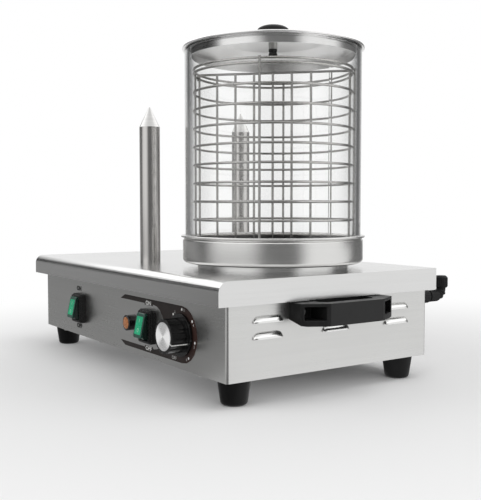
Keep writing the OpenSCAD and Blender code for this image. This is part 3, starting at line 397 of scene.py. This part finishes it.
def moulded(name, color, rough, grain=1500, strength=0.25, wear=0.25, edge=0.0, **sockets):
    """Moulded plastic or rubber with a fine grain, faint flow marks and light scuffs."""
    s = Shader(name, color, 0.0, rough, **sockets)
    if edge:
        s.round_edges(edge)
    skin = s.noise(s.coords((grain, grain, grain)), detail=3)
    flow = s.noise(s.coords((35, 35, 20)), detail=3)
    scuff = s.noise(s.coords((160, 420, 160)), detail=5, rough=0.65)
    pale = tuple(min(1, c * 1.15 + 0.002) for c in color)
    patches = s.math("MULTIPLY", flow, s.math("ADD", scuff, 0.5))
    s.color(s.tint(s.spread(patches, 0, 1, 0.3, 0.75), scaled(color, 0.85), pale))
    worn = s.spread(scuff, 0, wear, 0.5, 0.75)
    s.rough(s.math("ADD", s.spread(flow, rough - 0.05, rough + 0.05), worn))
    s.bump(skin, strength, SKIN_GRAIN)
    return s


# ---------------------------------------------------------------- materials

def wire_material():
    """Thin steel wire with an uneven film."""
    s = Shader("wire_steel", (0.6, 0.59, 0.565), 1.0, 0.15)
    grain = s.noise(s.coords((300, 300, 300)), detail=3)
    film = s.noise(s.coords((18, 18, 18)), detail=3)
    s.color(s.tint(s.spread(film, 0, 1), (0.46, 0.452, 0.43), (0.54, 0.532, 0.52)))
    s.rough(s.spread(grain, 0.12, 0.19))
    s.bump(grain, 0.03, FILM_GRAIN)
    return s


def cap_material():
    """Aluminium spun in fine rings, with a painted highlight: two pale and two grey wedges in
    its colour, standing in for the gloss of a turned face.
    """
    centre = (DIAL_X * MM, 0, CONTROL_Z * MM)
    s = spun("dial_aluminium", (0.9, 0.9, 0.9), 0.24, centre, "Y", 0.2, 5200)
    place = s.new("ShaderNodeSeparateXYZ")
    s.link(s.coords(shift=centre), place.inputs[0])
    # Painted highlight: pale and grey wedges by the angle round the middle, less metallic in
    # the pale ones
    turn = s.math("ARCTAN2", place.outputs["Z"], place.outputs["X"])
    wave = s.math("COSINE", s.math("MULTIPLY", turn, 2.0))
    streaks = s.noise(s.rings(centre, "Y", 2600, 0), detail=3)
    level = s.math("ADD", wave, s.spread(streaks, -0.25, 0.25))
    painted_highlight_wedges = s.spread(level, 0.0, 1.0, -0.7, 0.9, True)
    s.color(s.tint(painted_highlight_wedges, (0.76, 0.76, 0.76), (1.0, 1.0, 1.0)))
    s.link(s.spread(level, 0.45, 0.0, -0.7, 0.9, True), s.bsdf.inputs["Metallic"])
    s.turned(0.7, "Y")
    return s


def switch_material():
    """Green on the front of the rocker and black on its sides."""
    s = moulded("green_plastic", (0.0097, 0.07, 0.048), 0.2, 600, 0.06, 0.1,
                Coat_Weight=0.3, Coat_Roughness=0.1)
    flow = s.noise(s.coords((35, 35, 20)), detail=3)
    front = s.tint(s.spread(flow, 0, 1), (0.0085, 0.062, 0.043), (0.012, 0.08, 0.054))
    side = s.tint(s.spread(flow, 0, 1), (0.005, 0.012, 0.01), (0.008, 0.018, 0.015))
    s.color(s.pick_color(s.facing("X"), front, side))
    return s


def lid_material(column):
    """Spun steel, bright on its skirt and duller on its flat faces."""
    s = spun("lid_steel", (0.84, 0.835, 0.83), 0.16, column, strength=0.06, broad_tint=0.02)
    grain = s.noise(s.rings(column, "Z", 1500, 400), detail=3)
    flat = s.facing("Z")
    s.rough(s.pick(flat, s.spread(grain, 0.12, 0.18), s.spread(grain, 0.3, 0.37)))
    s.color(s.tint(s.math("MULTIPLY", flat, s.spread(grain, 0.94, 1.0)),
                   (0.84, 0.835, 0.83), (0.99, 0.985, 0.98)))
    s.turned(0.3, "Z")
    return s


def lens_material():
    """Orange lens with a black rim."""
    s = moulded("orange_plastic", (0.42, 0.15, 0.045), 0.22, 420, 0.2, 0.1,
                Coat_Weight=0.4, Coat_Roughness=0.1)
    low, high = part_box("lamp_lens")
    size = (high.z - low.z) / 2
    flat = s.vector("MULTIPLY", s.coords(shift=tuple((low + high) / 2)), (1, 0, 1))
    rim = s.spread(s.vector("LENGTH", flat), 0.0, 1.0, 0.84 * size, 0.87 * size)
    facets = s.noise(s.coords((420, 420, 420)), detail=2)
    lens = s.tint(s.spread(facets, 0, 1), (0.33, 0.11, 0.03), (0.52, 0.2, 0.065))
    s.color(s.pick_color(rim, lens, (0.008, 0.008, 0.008, 1)))
    return s


def label_material():
    """Dark film that turns a little redder towards its right end."""
    s = Shader("label_film", (0.024, 0.019, 0.017), 0.0, 0.55, Specular_IOR_Level=0.35)
    place = s.new("ShaderNodeSeparateXYZ")
    s.link(s.coords(), place.inputs[0])
    fade = s.spread(place.outputs["X"], 0, 1, 0.14, 0.185)
    grain = s.noise(s.coords((700, 700, 700)), detail=3)
    film = s.noise(s.coords((60, 60, 60)), detail=3)
    s.color(s.tint(fade, (0.023, 0.018, 0.0165), (0.042, 0.018, 0.014)))
    s.rough(s.spread(film, 0.48, 0.62))
    s.bump(grain, 0.08, FILM_GRAIN)
    return s


def glass_material():
    """Clear glass that darkens where the eye looks along the wall."""
    s = Shader("clear_glass", (0.965, 0.967, 0.965), 0.0, 0.02, IOR=1.47,
               Transmission_Weight=1.0)
    film = s.noise(s.coords((26, 26, 14)), detail=4, rough=0.6)
    s.rough(s.spread(film, 0.0, 0.03, 0.45, 0.8))
    s.bump(s.noise(s.coords((12, 12, 5)), detail=1), 0.05, GLASS_WAVE)
    edge = s.new("ShaderNodeLayerWeight")
    edge.inputs["Blend"].default_value = 0.5
    along = s.spread(edge.outputs["Facing"], 0.0, 1.0, 0.55, 0.8, True)
    s.color(s.tint(along, (0.972, 0.974, 0.972), (0.3, 0.305, 0.31)))
    clear = s.new("ShaderNodeBsdfTransparent")
    clear.inputs["Color"].default_value = (0.94, 0.95, 0.945, 1)
    path = s.new("ShaderNodeLightPath")
    lets = s.math("MAXIMUM", path.outputs["Is Shadow Ray"], path.outputs["Is Diffuse Ray"])
    mix = s.new("ShaderNodeMixShader")
    s.link(lets, mix.inputs["Fac"])
    s.link(s.bsdf.outputs[0], mix.inputs[1])
    s.link(clear.outputs[0], mix.inputs[2])
    s.link(mix.outputs[0], s.tree.nodes["Material Output"].inputs["Surface"])
    return s


def steel_materials():
    """Bare metals, by the name of their slot."""
    column = tuple(v * MM for v in (*COLUMN, 0))
    made = {
        "cover_steel": brushed("cover_steel", (0.7, 0.7, 0.695), 0.2, 0.08),
        "cabinet_steel": brushed("cabinet_steel", (0.64, 0.64, 0.63), 0.3),
        "hood_steel": brushed("hood_steel", (0.8, 0.8, 0.79), 0.17, 0.04),
        "hidden_steel": brushed("hidden_steel", (0.5, 0.5, 0.5), 0.42),
        "spun_steel": spun("spun_steel", (0.72, 0.717, 0.705), 0.24, column, strength=0.03,
                           broad_tint=0.012, uneven=0.3),
        "basin_steel": spun("basin_steel", (0.74, 0.74, 0.73), 0.22, column),
        "lid_steel": lid_material(column),
        "spike_aluminium": drawn("spike_aluminium", (0.62, 0.605, 0.59), 0.2),
        "dial_aluminium": cap_material(),
        "wire_steel": wire_material(),
        "screw_steel": grainy("screw_steel", (0.62, 0.62, 0.61), 0.33, 900, 3, (0.26, 0.44),
                              ((0.52, 0.52, 0.51), (0.68, 0.68, 0.66)), 0.2),
        "heater_steel": grainy("heater_steel", (0.34, 0.34, 0.35), 0.4, 300, 4, (0.32, 0.52),
                               ((0.24, 0.23, 0.23), (0.4, 0.4, 0.41)), 0.2),
        "brass": grainy("brass", (0.75, 0.56, 0.25), 0.32, 500, 3, (0.25, 0.42),
                        ((0.62, 0.44, 0.2), (0.82, 0.62, 0.3)), 0.15),
    }
    made["spun_steel"].turned(0.6, "Z")
    made["basin_steel"].turned(0.5, "Z")
    return made


def other_materials():
    """Plastics, rubbers, prints and glass, by the name of their slot."""
    return {
        "foot_rubber": moulded("foot_rubber", (0.006, 0.006, 0.0062), 0.42, 900,
                               Specular_IOR_Level=0.15),
        "black_plastic": moulded("black_plastic", (0.013, 0.013, 0.0133), 0.46, 1300,
                                 Specular_IOR_Level=0.16),
        "handle_plastic": moulded("handle_plastic", (0.009, 0.009, 0.0092), 0.4, 1300,
                                  edge=0.0014, Specular_IOR_Level=0.3),
        "seal_rubber": moulded("seal_rubber", (0.008, 0.008, 0.008), 0.5, 1100,
                               Specular_IOR_Level=0.3),
        "boot_rubber": moulded("boot_rubber", (0.006, 0.006, 0.0062), 0.28, 1600, 0.15,
                               edge=0.0008, Specular_IOR_Level=0.5),
        "gloss_black": moulded("gloss_black", (0.006, 0.006, 0.0062), 0.14, 700, 0.06, 0.12,
                               edge=0.0007),
        "green_plastic": switch_material(),
        "light_green": moulded("light_green", (0.012, 0.42, 0.2), 0.25, 600, 0.06, 0.1,
                               Coat_Weight=0.15, Coat_Roughness=0.15, Specular_IOR_Level=0.3),
        "orange_plastic": lens_material(),
        "white_plastic": moulded("white_plastic", (0.82, 0.82, 0.8), 0.35, 900, 0.1, 0.1),
        "ceramic": moulded("ceramic", (0.62, 0.55, 0.42), 0.5, 700),
        "print_white": moulded("print_white", (0.85, 0.85, 0.83), 0.45, 1600, 0.1, 0.1),
        "print_grey": moulded("print_grey", (0.45, 0.45, 0.44), 0.45, 1600, 0.1, 0.1),
        "print_pale": moulded("print_pale", (0.3, 0.62, 0.45), 0.4, 1600, 0.1, 0.1),
        "print_dark": moulded("print_dark", (0.03, 0.03, 0.03), 0.45, 1600, 0.1, 0.1),
        "label_film": label_material(),
        "clear_glass": glass_material(),
    }


def dress_nodes(made):
    """Gives every CAD node its material."""
    slots = {part["node"]: part["material_slot"] for part in frame["record"]["subparts"]}
    slots["lid_pan"] = "lid_steel"
    slots["right_handle"] = slots["left_handle"] = "handle_plastic"
    for name, piece in frame["nodes"].items():
        piece.data.materials.clear()
        piece.data.materials.append(made[slots[name]].material)


# ---------------------------------------------------------------- ways to make a piece

def on_front(x, z, out=0.0):
    """From a point on the front wall: local z comes out of it, y goes up."""
    return (Matrix.Translation(Vector((x, FRONT_Y - out, z)) * MM)
            @ Matrix.Rotation(math.radians(90), 4, "X"))


def on_side(side, y, z, out=0.0):
    """The same for a side wall: side is 1 on the right and -1 on the left."""
    turn = Matrix(((0, 0, side), (side, 0, 0), (0, 1, 0))).to_4x4()
    return Matrix.Translation(Vector((side * (WALL_X + out), y, z)) * MM) @ turn


def add_piece(name, mesh, matrix, material, body):
    """A mesh of one material that rides on a body."""
    mesh.materials.clear()
    mesh.materials.append(material.material)
    piece = bpy.data.objects.new(name, mesh)
    scene.collection.objects.link(piece)
    piece.matrix_world = matrix
    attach(piece, body)
    return piece


def curve_piece(name, curve, matrix, material, body):
    """Turns a curve into a mesh piece."""
    temporary = bpy.data.objects.new(name + "_curve", curve)
    scene.collection.objects.link(temporary)
    bpy.context.view_layer.update()
    mesh = bpy.data.meshes.new_from_object(temporary.evaluated_get(
        bpy.context.evaluated_depsgraph_get()))
    bpy.data.objects.remove(temporary)
    add_piece(name, mesh, matrix, material, body)


def face_piece(name, points, faces, material, body, smooth=True):
    """A mesh piece from points in metres."""
    mesh = bpy.data.meshes.new(name)
    mesh.from_pydata(points, [], faces)
    mesh.validate()
    for face in mesh.polygons:
        face.use_smooth = smooth
    return add_piece(name, mesh, Matrix(), material, body)


def lettering(name, text, size, matrix, material, bold, wide=1.0):
    """Flat text on the cabinet, centred on the matrix."""
    curve = bpy.data.curves.new(name, "FONT")
    curve.body = text
    curve.size = size * MM
    curve.align_x = "CENTER"
    curve.align_y = "CENTER"
    curve.extrude = PRINT_T * MM
    curve.offset = bold * MM
    curve.resolution_u = 4
    matrix = matrix @ Matrix.Diagonal((wide, 1, 1, 1))
    curve_piece(name, curve, matrix, material, "cabinet")


def solid_outline(name, loops, thick, matrix, material, body):
    """A flat print or inlay: outer loop first, holes after, in millimetres."""
    curve = bpy.data.curves.new(name, "CURVE")
    curve.dimensions = "2D"
    curve.fill_mode = "BOTH"
    curve.extrude = thick / 2 * MM
    for loop in loops:
        line = curve.splines.new("POLY")
        line.points.add(len(loop) - 1)
        for point, (x, y) in zip(line.points, loop):
            point.co = (x * MM, y * MM, 0, 1)
        line.use_cyclic_u = True
    curve_piece(name, curve, matrix, material, body)


def round_loop(w, h, r, cy=0.0):
    """A rectangle with round corners, its middle at height cy."""
    points = []
    for k, (sx, sy) in enumerate(((1, 1), (-1, 1), (-1, -1), (1, -1))):
        for i in range(CORNER_STEPS + 1):
            a = math.radians(90 * k + 90 * i / CORNER_STEPS)
            points.append((sx * (w / 2 - r) + r * math.cos(a),
                           cy + sy * (h / 2 - r) + r * math.sin(a)))
    return points


def arc(r, z, radius, start, end, steps):
    """Points of an arc in an outline that is turned round an upright axis."""
    turns = [math.radians(start + (end - start) * i / steps) for i in range(steps + 1)]
    return [(r + radius * math.cos(a), z + radius * math.sin(a)) for a in turns]


# ---------------------------------------------------------------- prints and switches

def on_dial(turn):
    """From a point on the ring of marks round the dial."""
    a = math.radians(turn)
    return on_front(DIAL_X + DIAL_MARK_R * math.cos(a), CONTROL_Z + DIAL_MARK_R * math.sin(a),
                    LABEL_OUT)


def dial_print(made):
    """The marks of the dial, and ON and OFF for the right switch."""
    white, grey = made["print_white"], made["print_grey"]
    for digit, turn in DIAL_MARKS.items():
        solid_outline("dial_dot_" + digit, [round_loop(2.9, 2.9, 1.45)], 0.04, on_dial(turn),
                      white, "cabinet")
        lettering("dial_digit_" + digit, digit, 3.8, on_dial(turn - DIGIT_LAG), grey, 0.08)
    lettering("dial_off", "OFF", 5.2, on_front(DIAL_X - 16.6, CONTROL_Z - 27.3, LABEL_OUT),
              grey, 0.04, 1.15)
    for name, text, up in (("label_on", "ON", 25.8), ("label_off", "OFF", -26.2)):
        lettering(name, text, 6.4, on_front(LABEL_PRINT_X, CONTROL_Z + up, LABEL_OUT), white,
                  0.1, 1.3)


def left_switch_print(made):
    """ON and OFF above and below the left switch."""
    for name, text, up in (("left_on", "ON", 25.2), ("left_off", "OFF", -25.2)):
        lettering(name, text, 7.2, on_front(LEFT_PRINT_X, CONTROL_Z + up, PANEL_OUT),
                  made["print_dark"], 0.7, 1.3)


def switch_cap(name, base, material, body):
    """The thick ribbed skin of the boot on the face of a rocker."""
    points = [base @ (Vector((x, y, z)) * MM)
              for w, h, z in SKIN for x, y in round_loop(w, h, 3)]
    count = len(points) // len(SKIN)
    faces = []
    for j in range(len(SKIN) - 1):
        for i in range(count):
            a, b = j * count + i, j * count + (i + 1) % count
            faces.append([a, b, b + count, a + count])
    faces.append(list(reversed(range(count))))
    faces.append(list(range(len(points) - count, len(points))))
    face_piece(name, points, faces, material, body, smooth=False)


def switch_marks(made):
    """The green face of each rocker with its 1 and 0, which rock with it."""
    for body, x in SWITCH_X.items():
        base = (on_front(x, CONTROL_Z) @ Matrix.Translation((0, 0, ROCKER_ROOT * MM))
                @ Matrix.Rotation(math.radians(ROCKER_TILT), 4, "X"))
        switch_cap(body + "_cap", base, made["green_plastic"], body)
        face = base @ Matrix.Translation((0, 0, FACE_OUT * MM))
        solid_outline(body + "_face", [round_loop(14.5, 20.5, 1.2)], 0.1, face,
                      made["light_green"], body)
        mark = base @ Matrix.Translation((0, 0, MARK_OUT * MM))
        nought = [round_loop(3.8, 4.6, 1.85, -5.4), round_loop(2.2, 3.0, 1.05, -5.4)]
        for name, loops in (("_one", [round_loop(0.9, 4.4, 0.4, 5.6)]), ("_nought", nought)):
            solid_outline(body + name, loops, 0.06, mark, made["print_pale"], body)


# ---------------------------------------------------------------- metalwork and trim

def seat_outline():
    """Section of the seat pan: up its outside from the neck, and down its inside."""
    r, wall, corner, low = SEAT["r"], SEAT["wall"], SEAT["corner"], SEAT["low"]
    top, floor, bead, collar = SEAT["top"], SEAT["floor"], SEAT["bead"], SEAT["collar_top"]
    shoulder, inside = SEAT["shoulder"], SEAT["r"] - SEAT["wall"]
    neck = [(SEAT["neck"] - wall, SEAT["neck_low"]), (SEAT["neck"], SEAT["neck_low"]),
            (SEAT["neck"], collar)]
    under = [(90.4, collar), (91.6, collar - 1.2), (92, low + 1.6), (93.6, low)]
    cove = [(r - 1.3, top - 3.4), (r - 0.9, top - 2.8), (r - 0.1, top - 2.3)]
    lip = [(r - 0.6, top), (inside, top - 0.5), (inside - SEAT["step"], top - 1.8),
           (inside - SEAT["step"], shoulder + 1.5), (inside, shoulder - 0.5)]
    return (neck + under + arc(r - corner, low + corner, corner, 270, 360, 8)
            + arc(r - SEAT["round"], shoulder, SEAT["round"], 0, 60, 6) + cove
            + arc(r + bead, top - bead, bead, -90, 90, 8) + lip
            + arc(r - corner, floor + corner - wall, corner - wall, 360, 270, 6)
            + [(SEAT["neck"] - wall, floor)])


def seat_pan(made):
    """The pan round the foot of the glass, with a rolled lip over a round shoulder."""
    outline = seat_outline()
    points, faces, count = [], [], len(outline)
    for k in range(SEAT_SIDES):
        a = 2 * math.pi * k / SEAT_SIDES
        x, y = math.cos(a), math.sin(a)
        points += [((COLUMN[0] + q * x) * MM, (COLUMN[1] + q * y) * MM, z * MM)
                   for q, z in outline]
        for i in range(count):
            here, there = k * count, (k + 1) % SEAT_SIDES * count
            j = (i + 1) % count
            faces.append((here + i, there + i, there + j, here + j))
    piece = face_piece("seat_pan", points, faces, made["spun_steel"], "cabinet")
    piece.data.set_sharp_from_angle(angle=math.radians(38))
    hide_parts("seat_ring")


def hood_points(inset):
    """Points of a louvre hood in rows from the lip to the wall, in millimetres."""
    half = LOUVRE["w"] / 2 + HOOD_OVER["w"] - inset
    out = LOUVRE["out"] + HOOD_OVER["out"] - inset
    high = LOUVRE["h"] + HOOD_OVER["h"] - inset
    points = []
    for j in range(HOOD_ROWS):
        up = j / (HOOD_ROWS - 1)
        for i in range(HOOD_STEPS + 1):
            along = -math.cos(math.pi * i / HOOD_STEPS)
            end = (1 - abs(along) ** 6) ** 0.5
            points.append((along * half, up * high * end - HOOD_SINK,
                           out * end * (1 - up ** 2.2)))
    return points


def hood_faces(start):
    """Faces of one hood whose outer points start there, and its inner points behind them."""
    wide = HOOD_STEPS + 1
    back = start + wide * HOOD_ROWS
    faces = []
    for j in range(HOOD_ROWS - 1):
        for i in range(HOOD_STEPS):
            a = j * wide + i
            quad = (a, a + 1, a + wide + 1, a + wide)
            faces.append([start + k for k in quad])
            faces.append([back + k for k in reversed(quad)])
    for i in range(HOOD_STEPS):
        top = (HOOD_ROWS - 1) * wide + i
        faces.append([start + i + 1, start + i, back + i, back + i + 1])
        faces.append([start + top, start + top + 1, back + top + 1, back + top])
    return faces


def louvre_hoods(made):
    """Pressed steel hoods with a long flat crown and short round ends."""
    hood = hood_points(0.0) + hood_points(HOOD_T)
    for side, word in SIDES:
        points, faces = [], []
        for column in (-1, 0, 1):
            for row in (0, 1):
                matrix = on_side(side, FRAME_Y + column * LOUVRE["step_y"],
                                 LOUVRE["z"] + row * LOUVRE["step_z"])
                faces += hood_faces(len(points))
                points += [matrix @ (Vector(p) * MM) for p in hood]
        face_piece(word + "_louvre_hoods", points, faces, made["hood_steel"], "cabinet")


def handle_shade_pads(made):
    """A dark pad on the wall behind the grip of each handle: painted shade for the deep dark
    of the gap between grip and wall.
    """
    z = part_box("right_handle")[1].z / MM - HANDLE_PAD["below_top"]
    loop = round_loop(HANDLE_PAD["w"], HANDLE_PAD["h"], HANDLE_PAD["corner"])
    for side, word in SIDES:
        solid_outline(word + "_handle_shade_pad", [loop], HANDLE_PAD["t"],
                      on_side(side, FRAME_Y, z, HANDLE_PAD["out"]), made["black_plastic"],
                      "cabinet")


def drain_rings(made):
    """Ribs round the bend of the drain elbow."""
    bend, r = DRAIN["bend"], (DRAIN["neck"] / 2 - 0.4) * MM
    for k, turn in enumerate(DRAIN_RING_TURNS):
        a = math.radians(turn)
        spot = Vector((DRAIN["x"], DRAIN["y"] - bend + bend * math.sin(a),
                       DRAIN["z"] + bend - bend * math.cos(a)))
        matrix = (Matrix.Translation(spot * MM) @ Matrix.Rotation(a, 4, "X")
                  @ Matrix.Rotation(math.radians(-90), 4, "X"))
        curve = bpy.data.curves.new("drain_ring_%d" % k, "CURVE")
        curve.dimensions = "3D"
        curve.bevel_depth = DRAIN_RING_T * MM
        curve.bevel_resolution = 3
        line = curve.splines.new("POLY")
        line.points.add(DRAIN_RING_STEPS - 1)
        for i, point in enumerate(line.points):
            b = 2 * math.pi * i / DRAIN_RING_STEPS
            point.co = (r * math.cos(b), r * math.sin(b), 0, 1)
        line.use_cyclic_u = True
        curve_piece("drain_ring_%d" % k, curve, matrix, made["black_plastic"], "drain_bend")


# ---------------------------------------------------------------- stage and light

def build_stage():
    """A pale floor that fades to white far away, and keeps the object's shadow."""
    mesh = bpy.data.meshes.new("floor")
    r = FLOOR_HALF
    mesh.from_pydata([(-r, -r, 0), (r, -r, 0), (r, r, 0), (-r, r, 0)], [], [(0, 1, 2, 3)])
    floor = bpy.data.objects.new("floor", mesh)
    scene.collection.objects.link(floor)
    s = Shader("floor_paint", (0.84, 0.84, 0.84), 0.0, 0.8, Specular_IOR_Level=0.05)
    place = s.coords()
    radius = s.vector("LENGTH", s.vector("SUBTRACT", place, FADE_CENTRE))
    path = s.new("ShaderNodeLightPath")
    white = s.new("ShaderNodeEmission")
    s.feed(s.seen_directly(path), white.inputs["Strength"])
    mirrored = s.new("ShaderNodeEmission")
    s.feed(s.surround(s.coords(shift=MIRROR_CENTRE), FLOOR_LOBES),
           mirrored.inputs["Strength"])
    far = s.new("ShaderNodeMixShader")
    fade = s.spread(radius, 0.0, 1.0, 0.22, 0.88, True)
    s.feed(s.math("MULTIPLY", fade, s.seen_directly(path)), far.inputs["Fac"])
    s.link(s.bsdf.outputs[0], far.inputs[1])
    s.link(white.outputs[0], far.inputs[2])
    paint = s.new("ShaderNodeMixShader")
    s.feed(s.reflected(path), paint.inputs["Fac"])
    s.link(far.outputs[0], paint.inputs[1])
    s.link(mirrored.outputs[0], paint.inputs[2])
    s.link(paint.outputs[0], s.tree.nodes["Material Output"].inputs["Surface"])
    mesh.materials.append(s.material)


def build_world():
    """White where it is seen directly, patches of brightness where metal mirrors it."""
    world = bpy.data.worlds.new("world")
    scene.world = world
    world.use_nodes = True
    world.node_tree.nodes.clear()
    world.cycles.sampling_method = "NONE"
    net = Net(world.node_tree)
    direction = net.new("ShaderNodeTexCoord").outputs["Generated"]
    split = net.new("ShaderNodeSeparateXYZ")
    net.link(direction, split.inputs[0])
    x, z = split.outputs["X"], split.outputs["Z"]

    flat = net.vector("NORMALIZE", net.vector("MULTIPLY", direction, (1.0, 1.0, 0.0)))
    front_left = net.spread(net.vector("DOT_PRODUCT", flat, (-0.85, -0.53, 0.0)),
                            0.0, 0.8, 0.72, 0.92, True)
    strip = net.math("MULTIPLY", net.spread(z, 0.0, 1.0, 0.08, 0.15, True),
                     net.spread(z, 1.0, 0.0, 0.28, 0.38, True))
    shade = net.math("SUBTRACT", 1.0, net.math("MULTIPLY", strip, front_left))
    low = net.math("MULTIPLY", net.surround(direction), shade)
    high = net.math("MULTIPLY", net.spread(x, 1.6, 1.35, -0.9, 0.6),
                    net.spread(z, 1.0, 0.62, 0.62, 0.9, True))
    mirror = net.pick(net.spread(z, 0.0, 1.0, 0.35, 0.42, True), low, high)

    path = net.new("ShaderNodeLightPath")
    seen, reflected = net.seen_directly(path), net.reflected(path)
    rest = net.math("SUBTRACT", 1.0, net.math("MAXIMUM", seen, reflected))
    total = net.math("ADD", net.math("ADD", seen, net.math("MULTIPLY", reflected, mirror)),
                     net.math("MULTIPLY", rest, DIFFUSE_SKY))
    background = net.new("ShaderNodeBackground")
    background.inputs["Color"].default_value = (1, 1, 1, 1)
    net.link(total, background.inputs["Strength"])
    net.link(background.outputs[0], net.new("ShaderNodeOutputWorld").inputs["Surface"])


def add_lamp(name, place, target, size, energy):
    """A soft lamp that metal, glass and the camera do not see."""
    data = bpy.data.lights.new(name, "AREA")
    data.shape = "RECTANGLE"
    data.size, data.size_y = size
    data.energy = energy
    lamp = bpy.data.objects.new(name, data)
    scene.collection.objects.link(lamp)
    lamp.location = place
    lamp.rotation_euler = (Vector(target) - Vector(place)).to_track_quat("-Z", "Y").to_euler()
    lamp.visible_camera = False
    lamp.visible_glossy = False
    lamp.visible_transmission = False


def build_lights():
    """One lamp from above, one from the right and one from the front."""
    add_lamp("key", (0.8, 0.5, 2.1), (0, 0, 0.1), (1.5, 1.5), 16)
    add_lamp("side", (2.0, -0.4, 1.0), (0, 0, 0.15), (1.2, 1.4), 9)
    add_lamp("front", (-0.6, -2.0, 1.2), (0, 0, 0.1), (1.4, 1.2), 8)


place_camera()
materials = {**steel_materials(), **other_materials()}
dress_nodes(materials)
dial_print(materials)
left_switch_print(materials)
switch_marks(materials)
seat_pan(materials)
louvre_hoods(materials)
handle_shade_pads(materials)
drain_rings(materials)
build_stage()
build_world()
build_lights()
scene.view_settings.view_transform = "Standard"
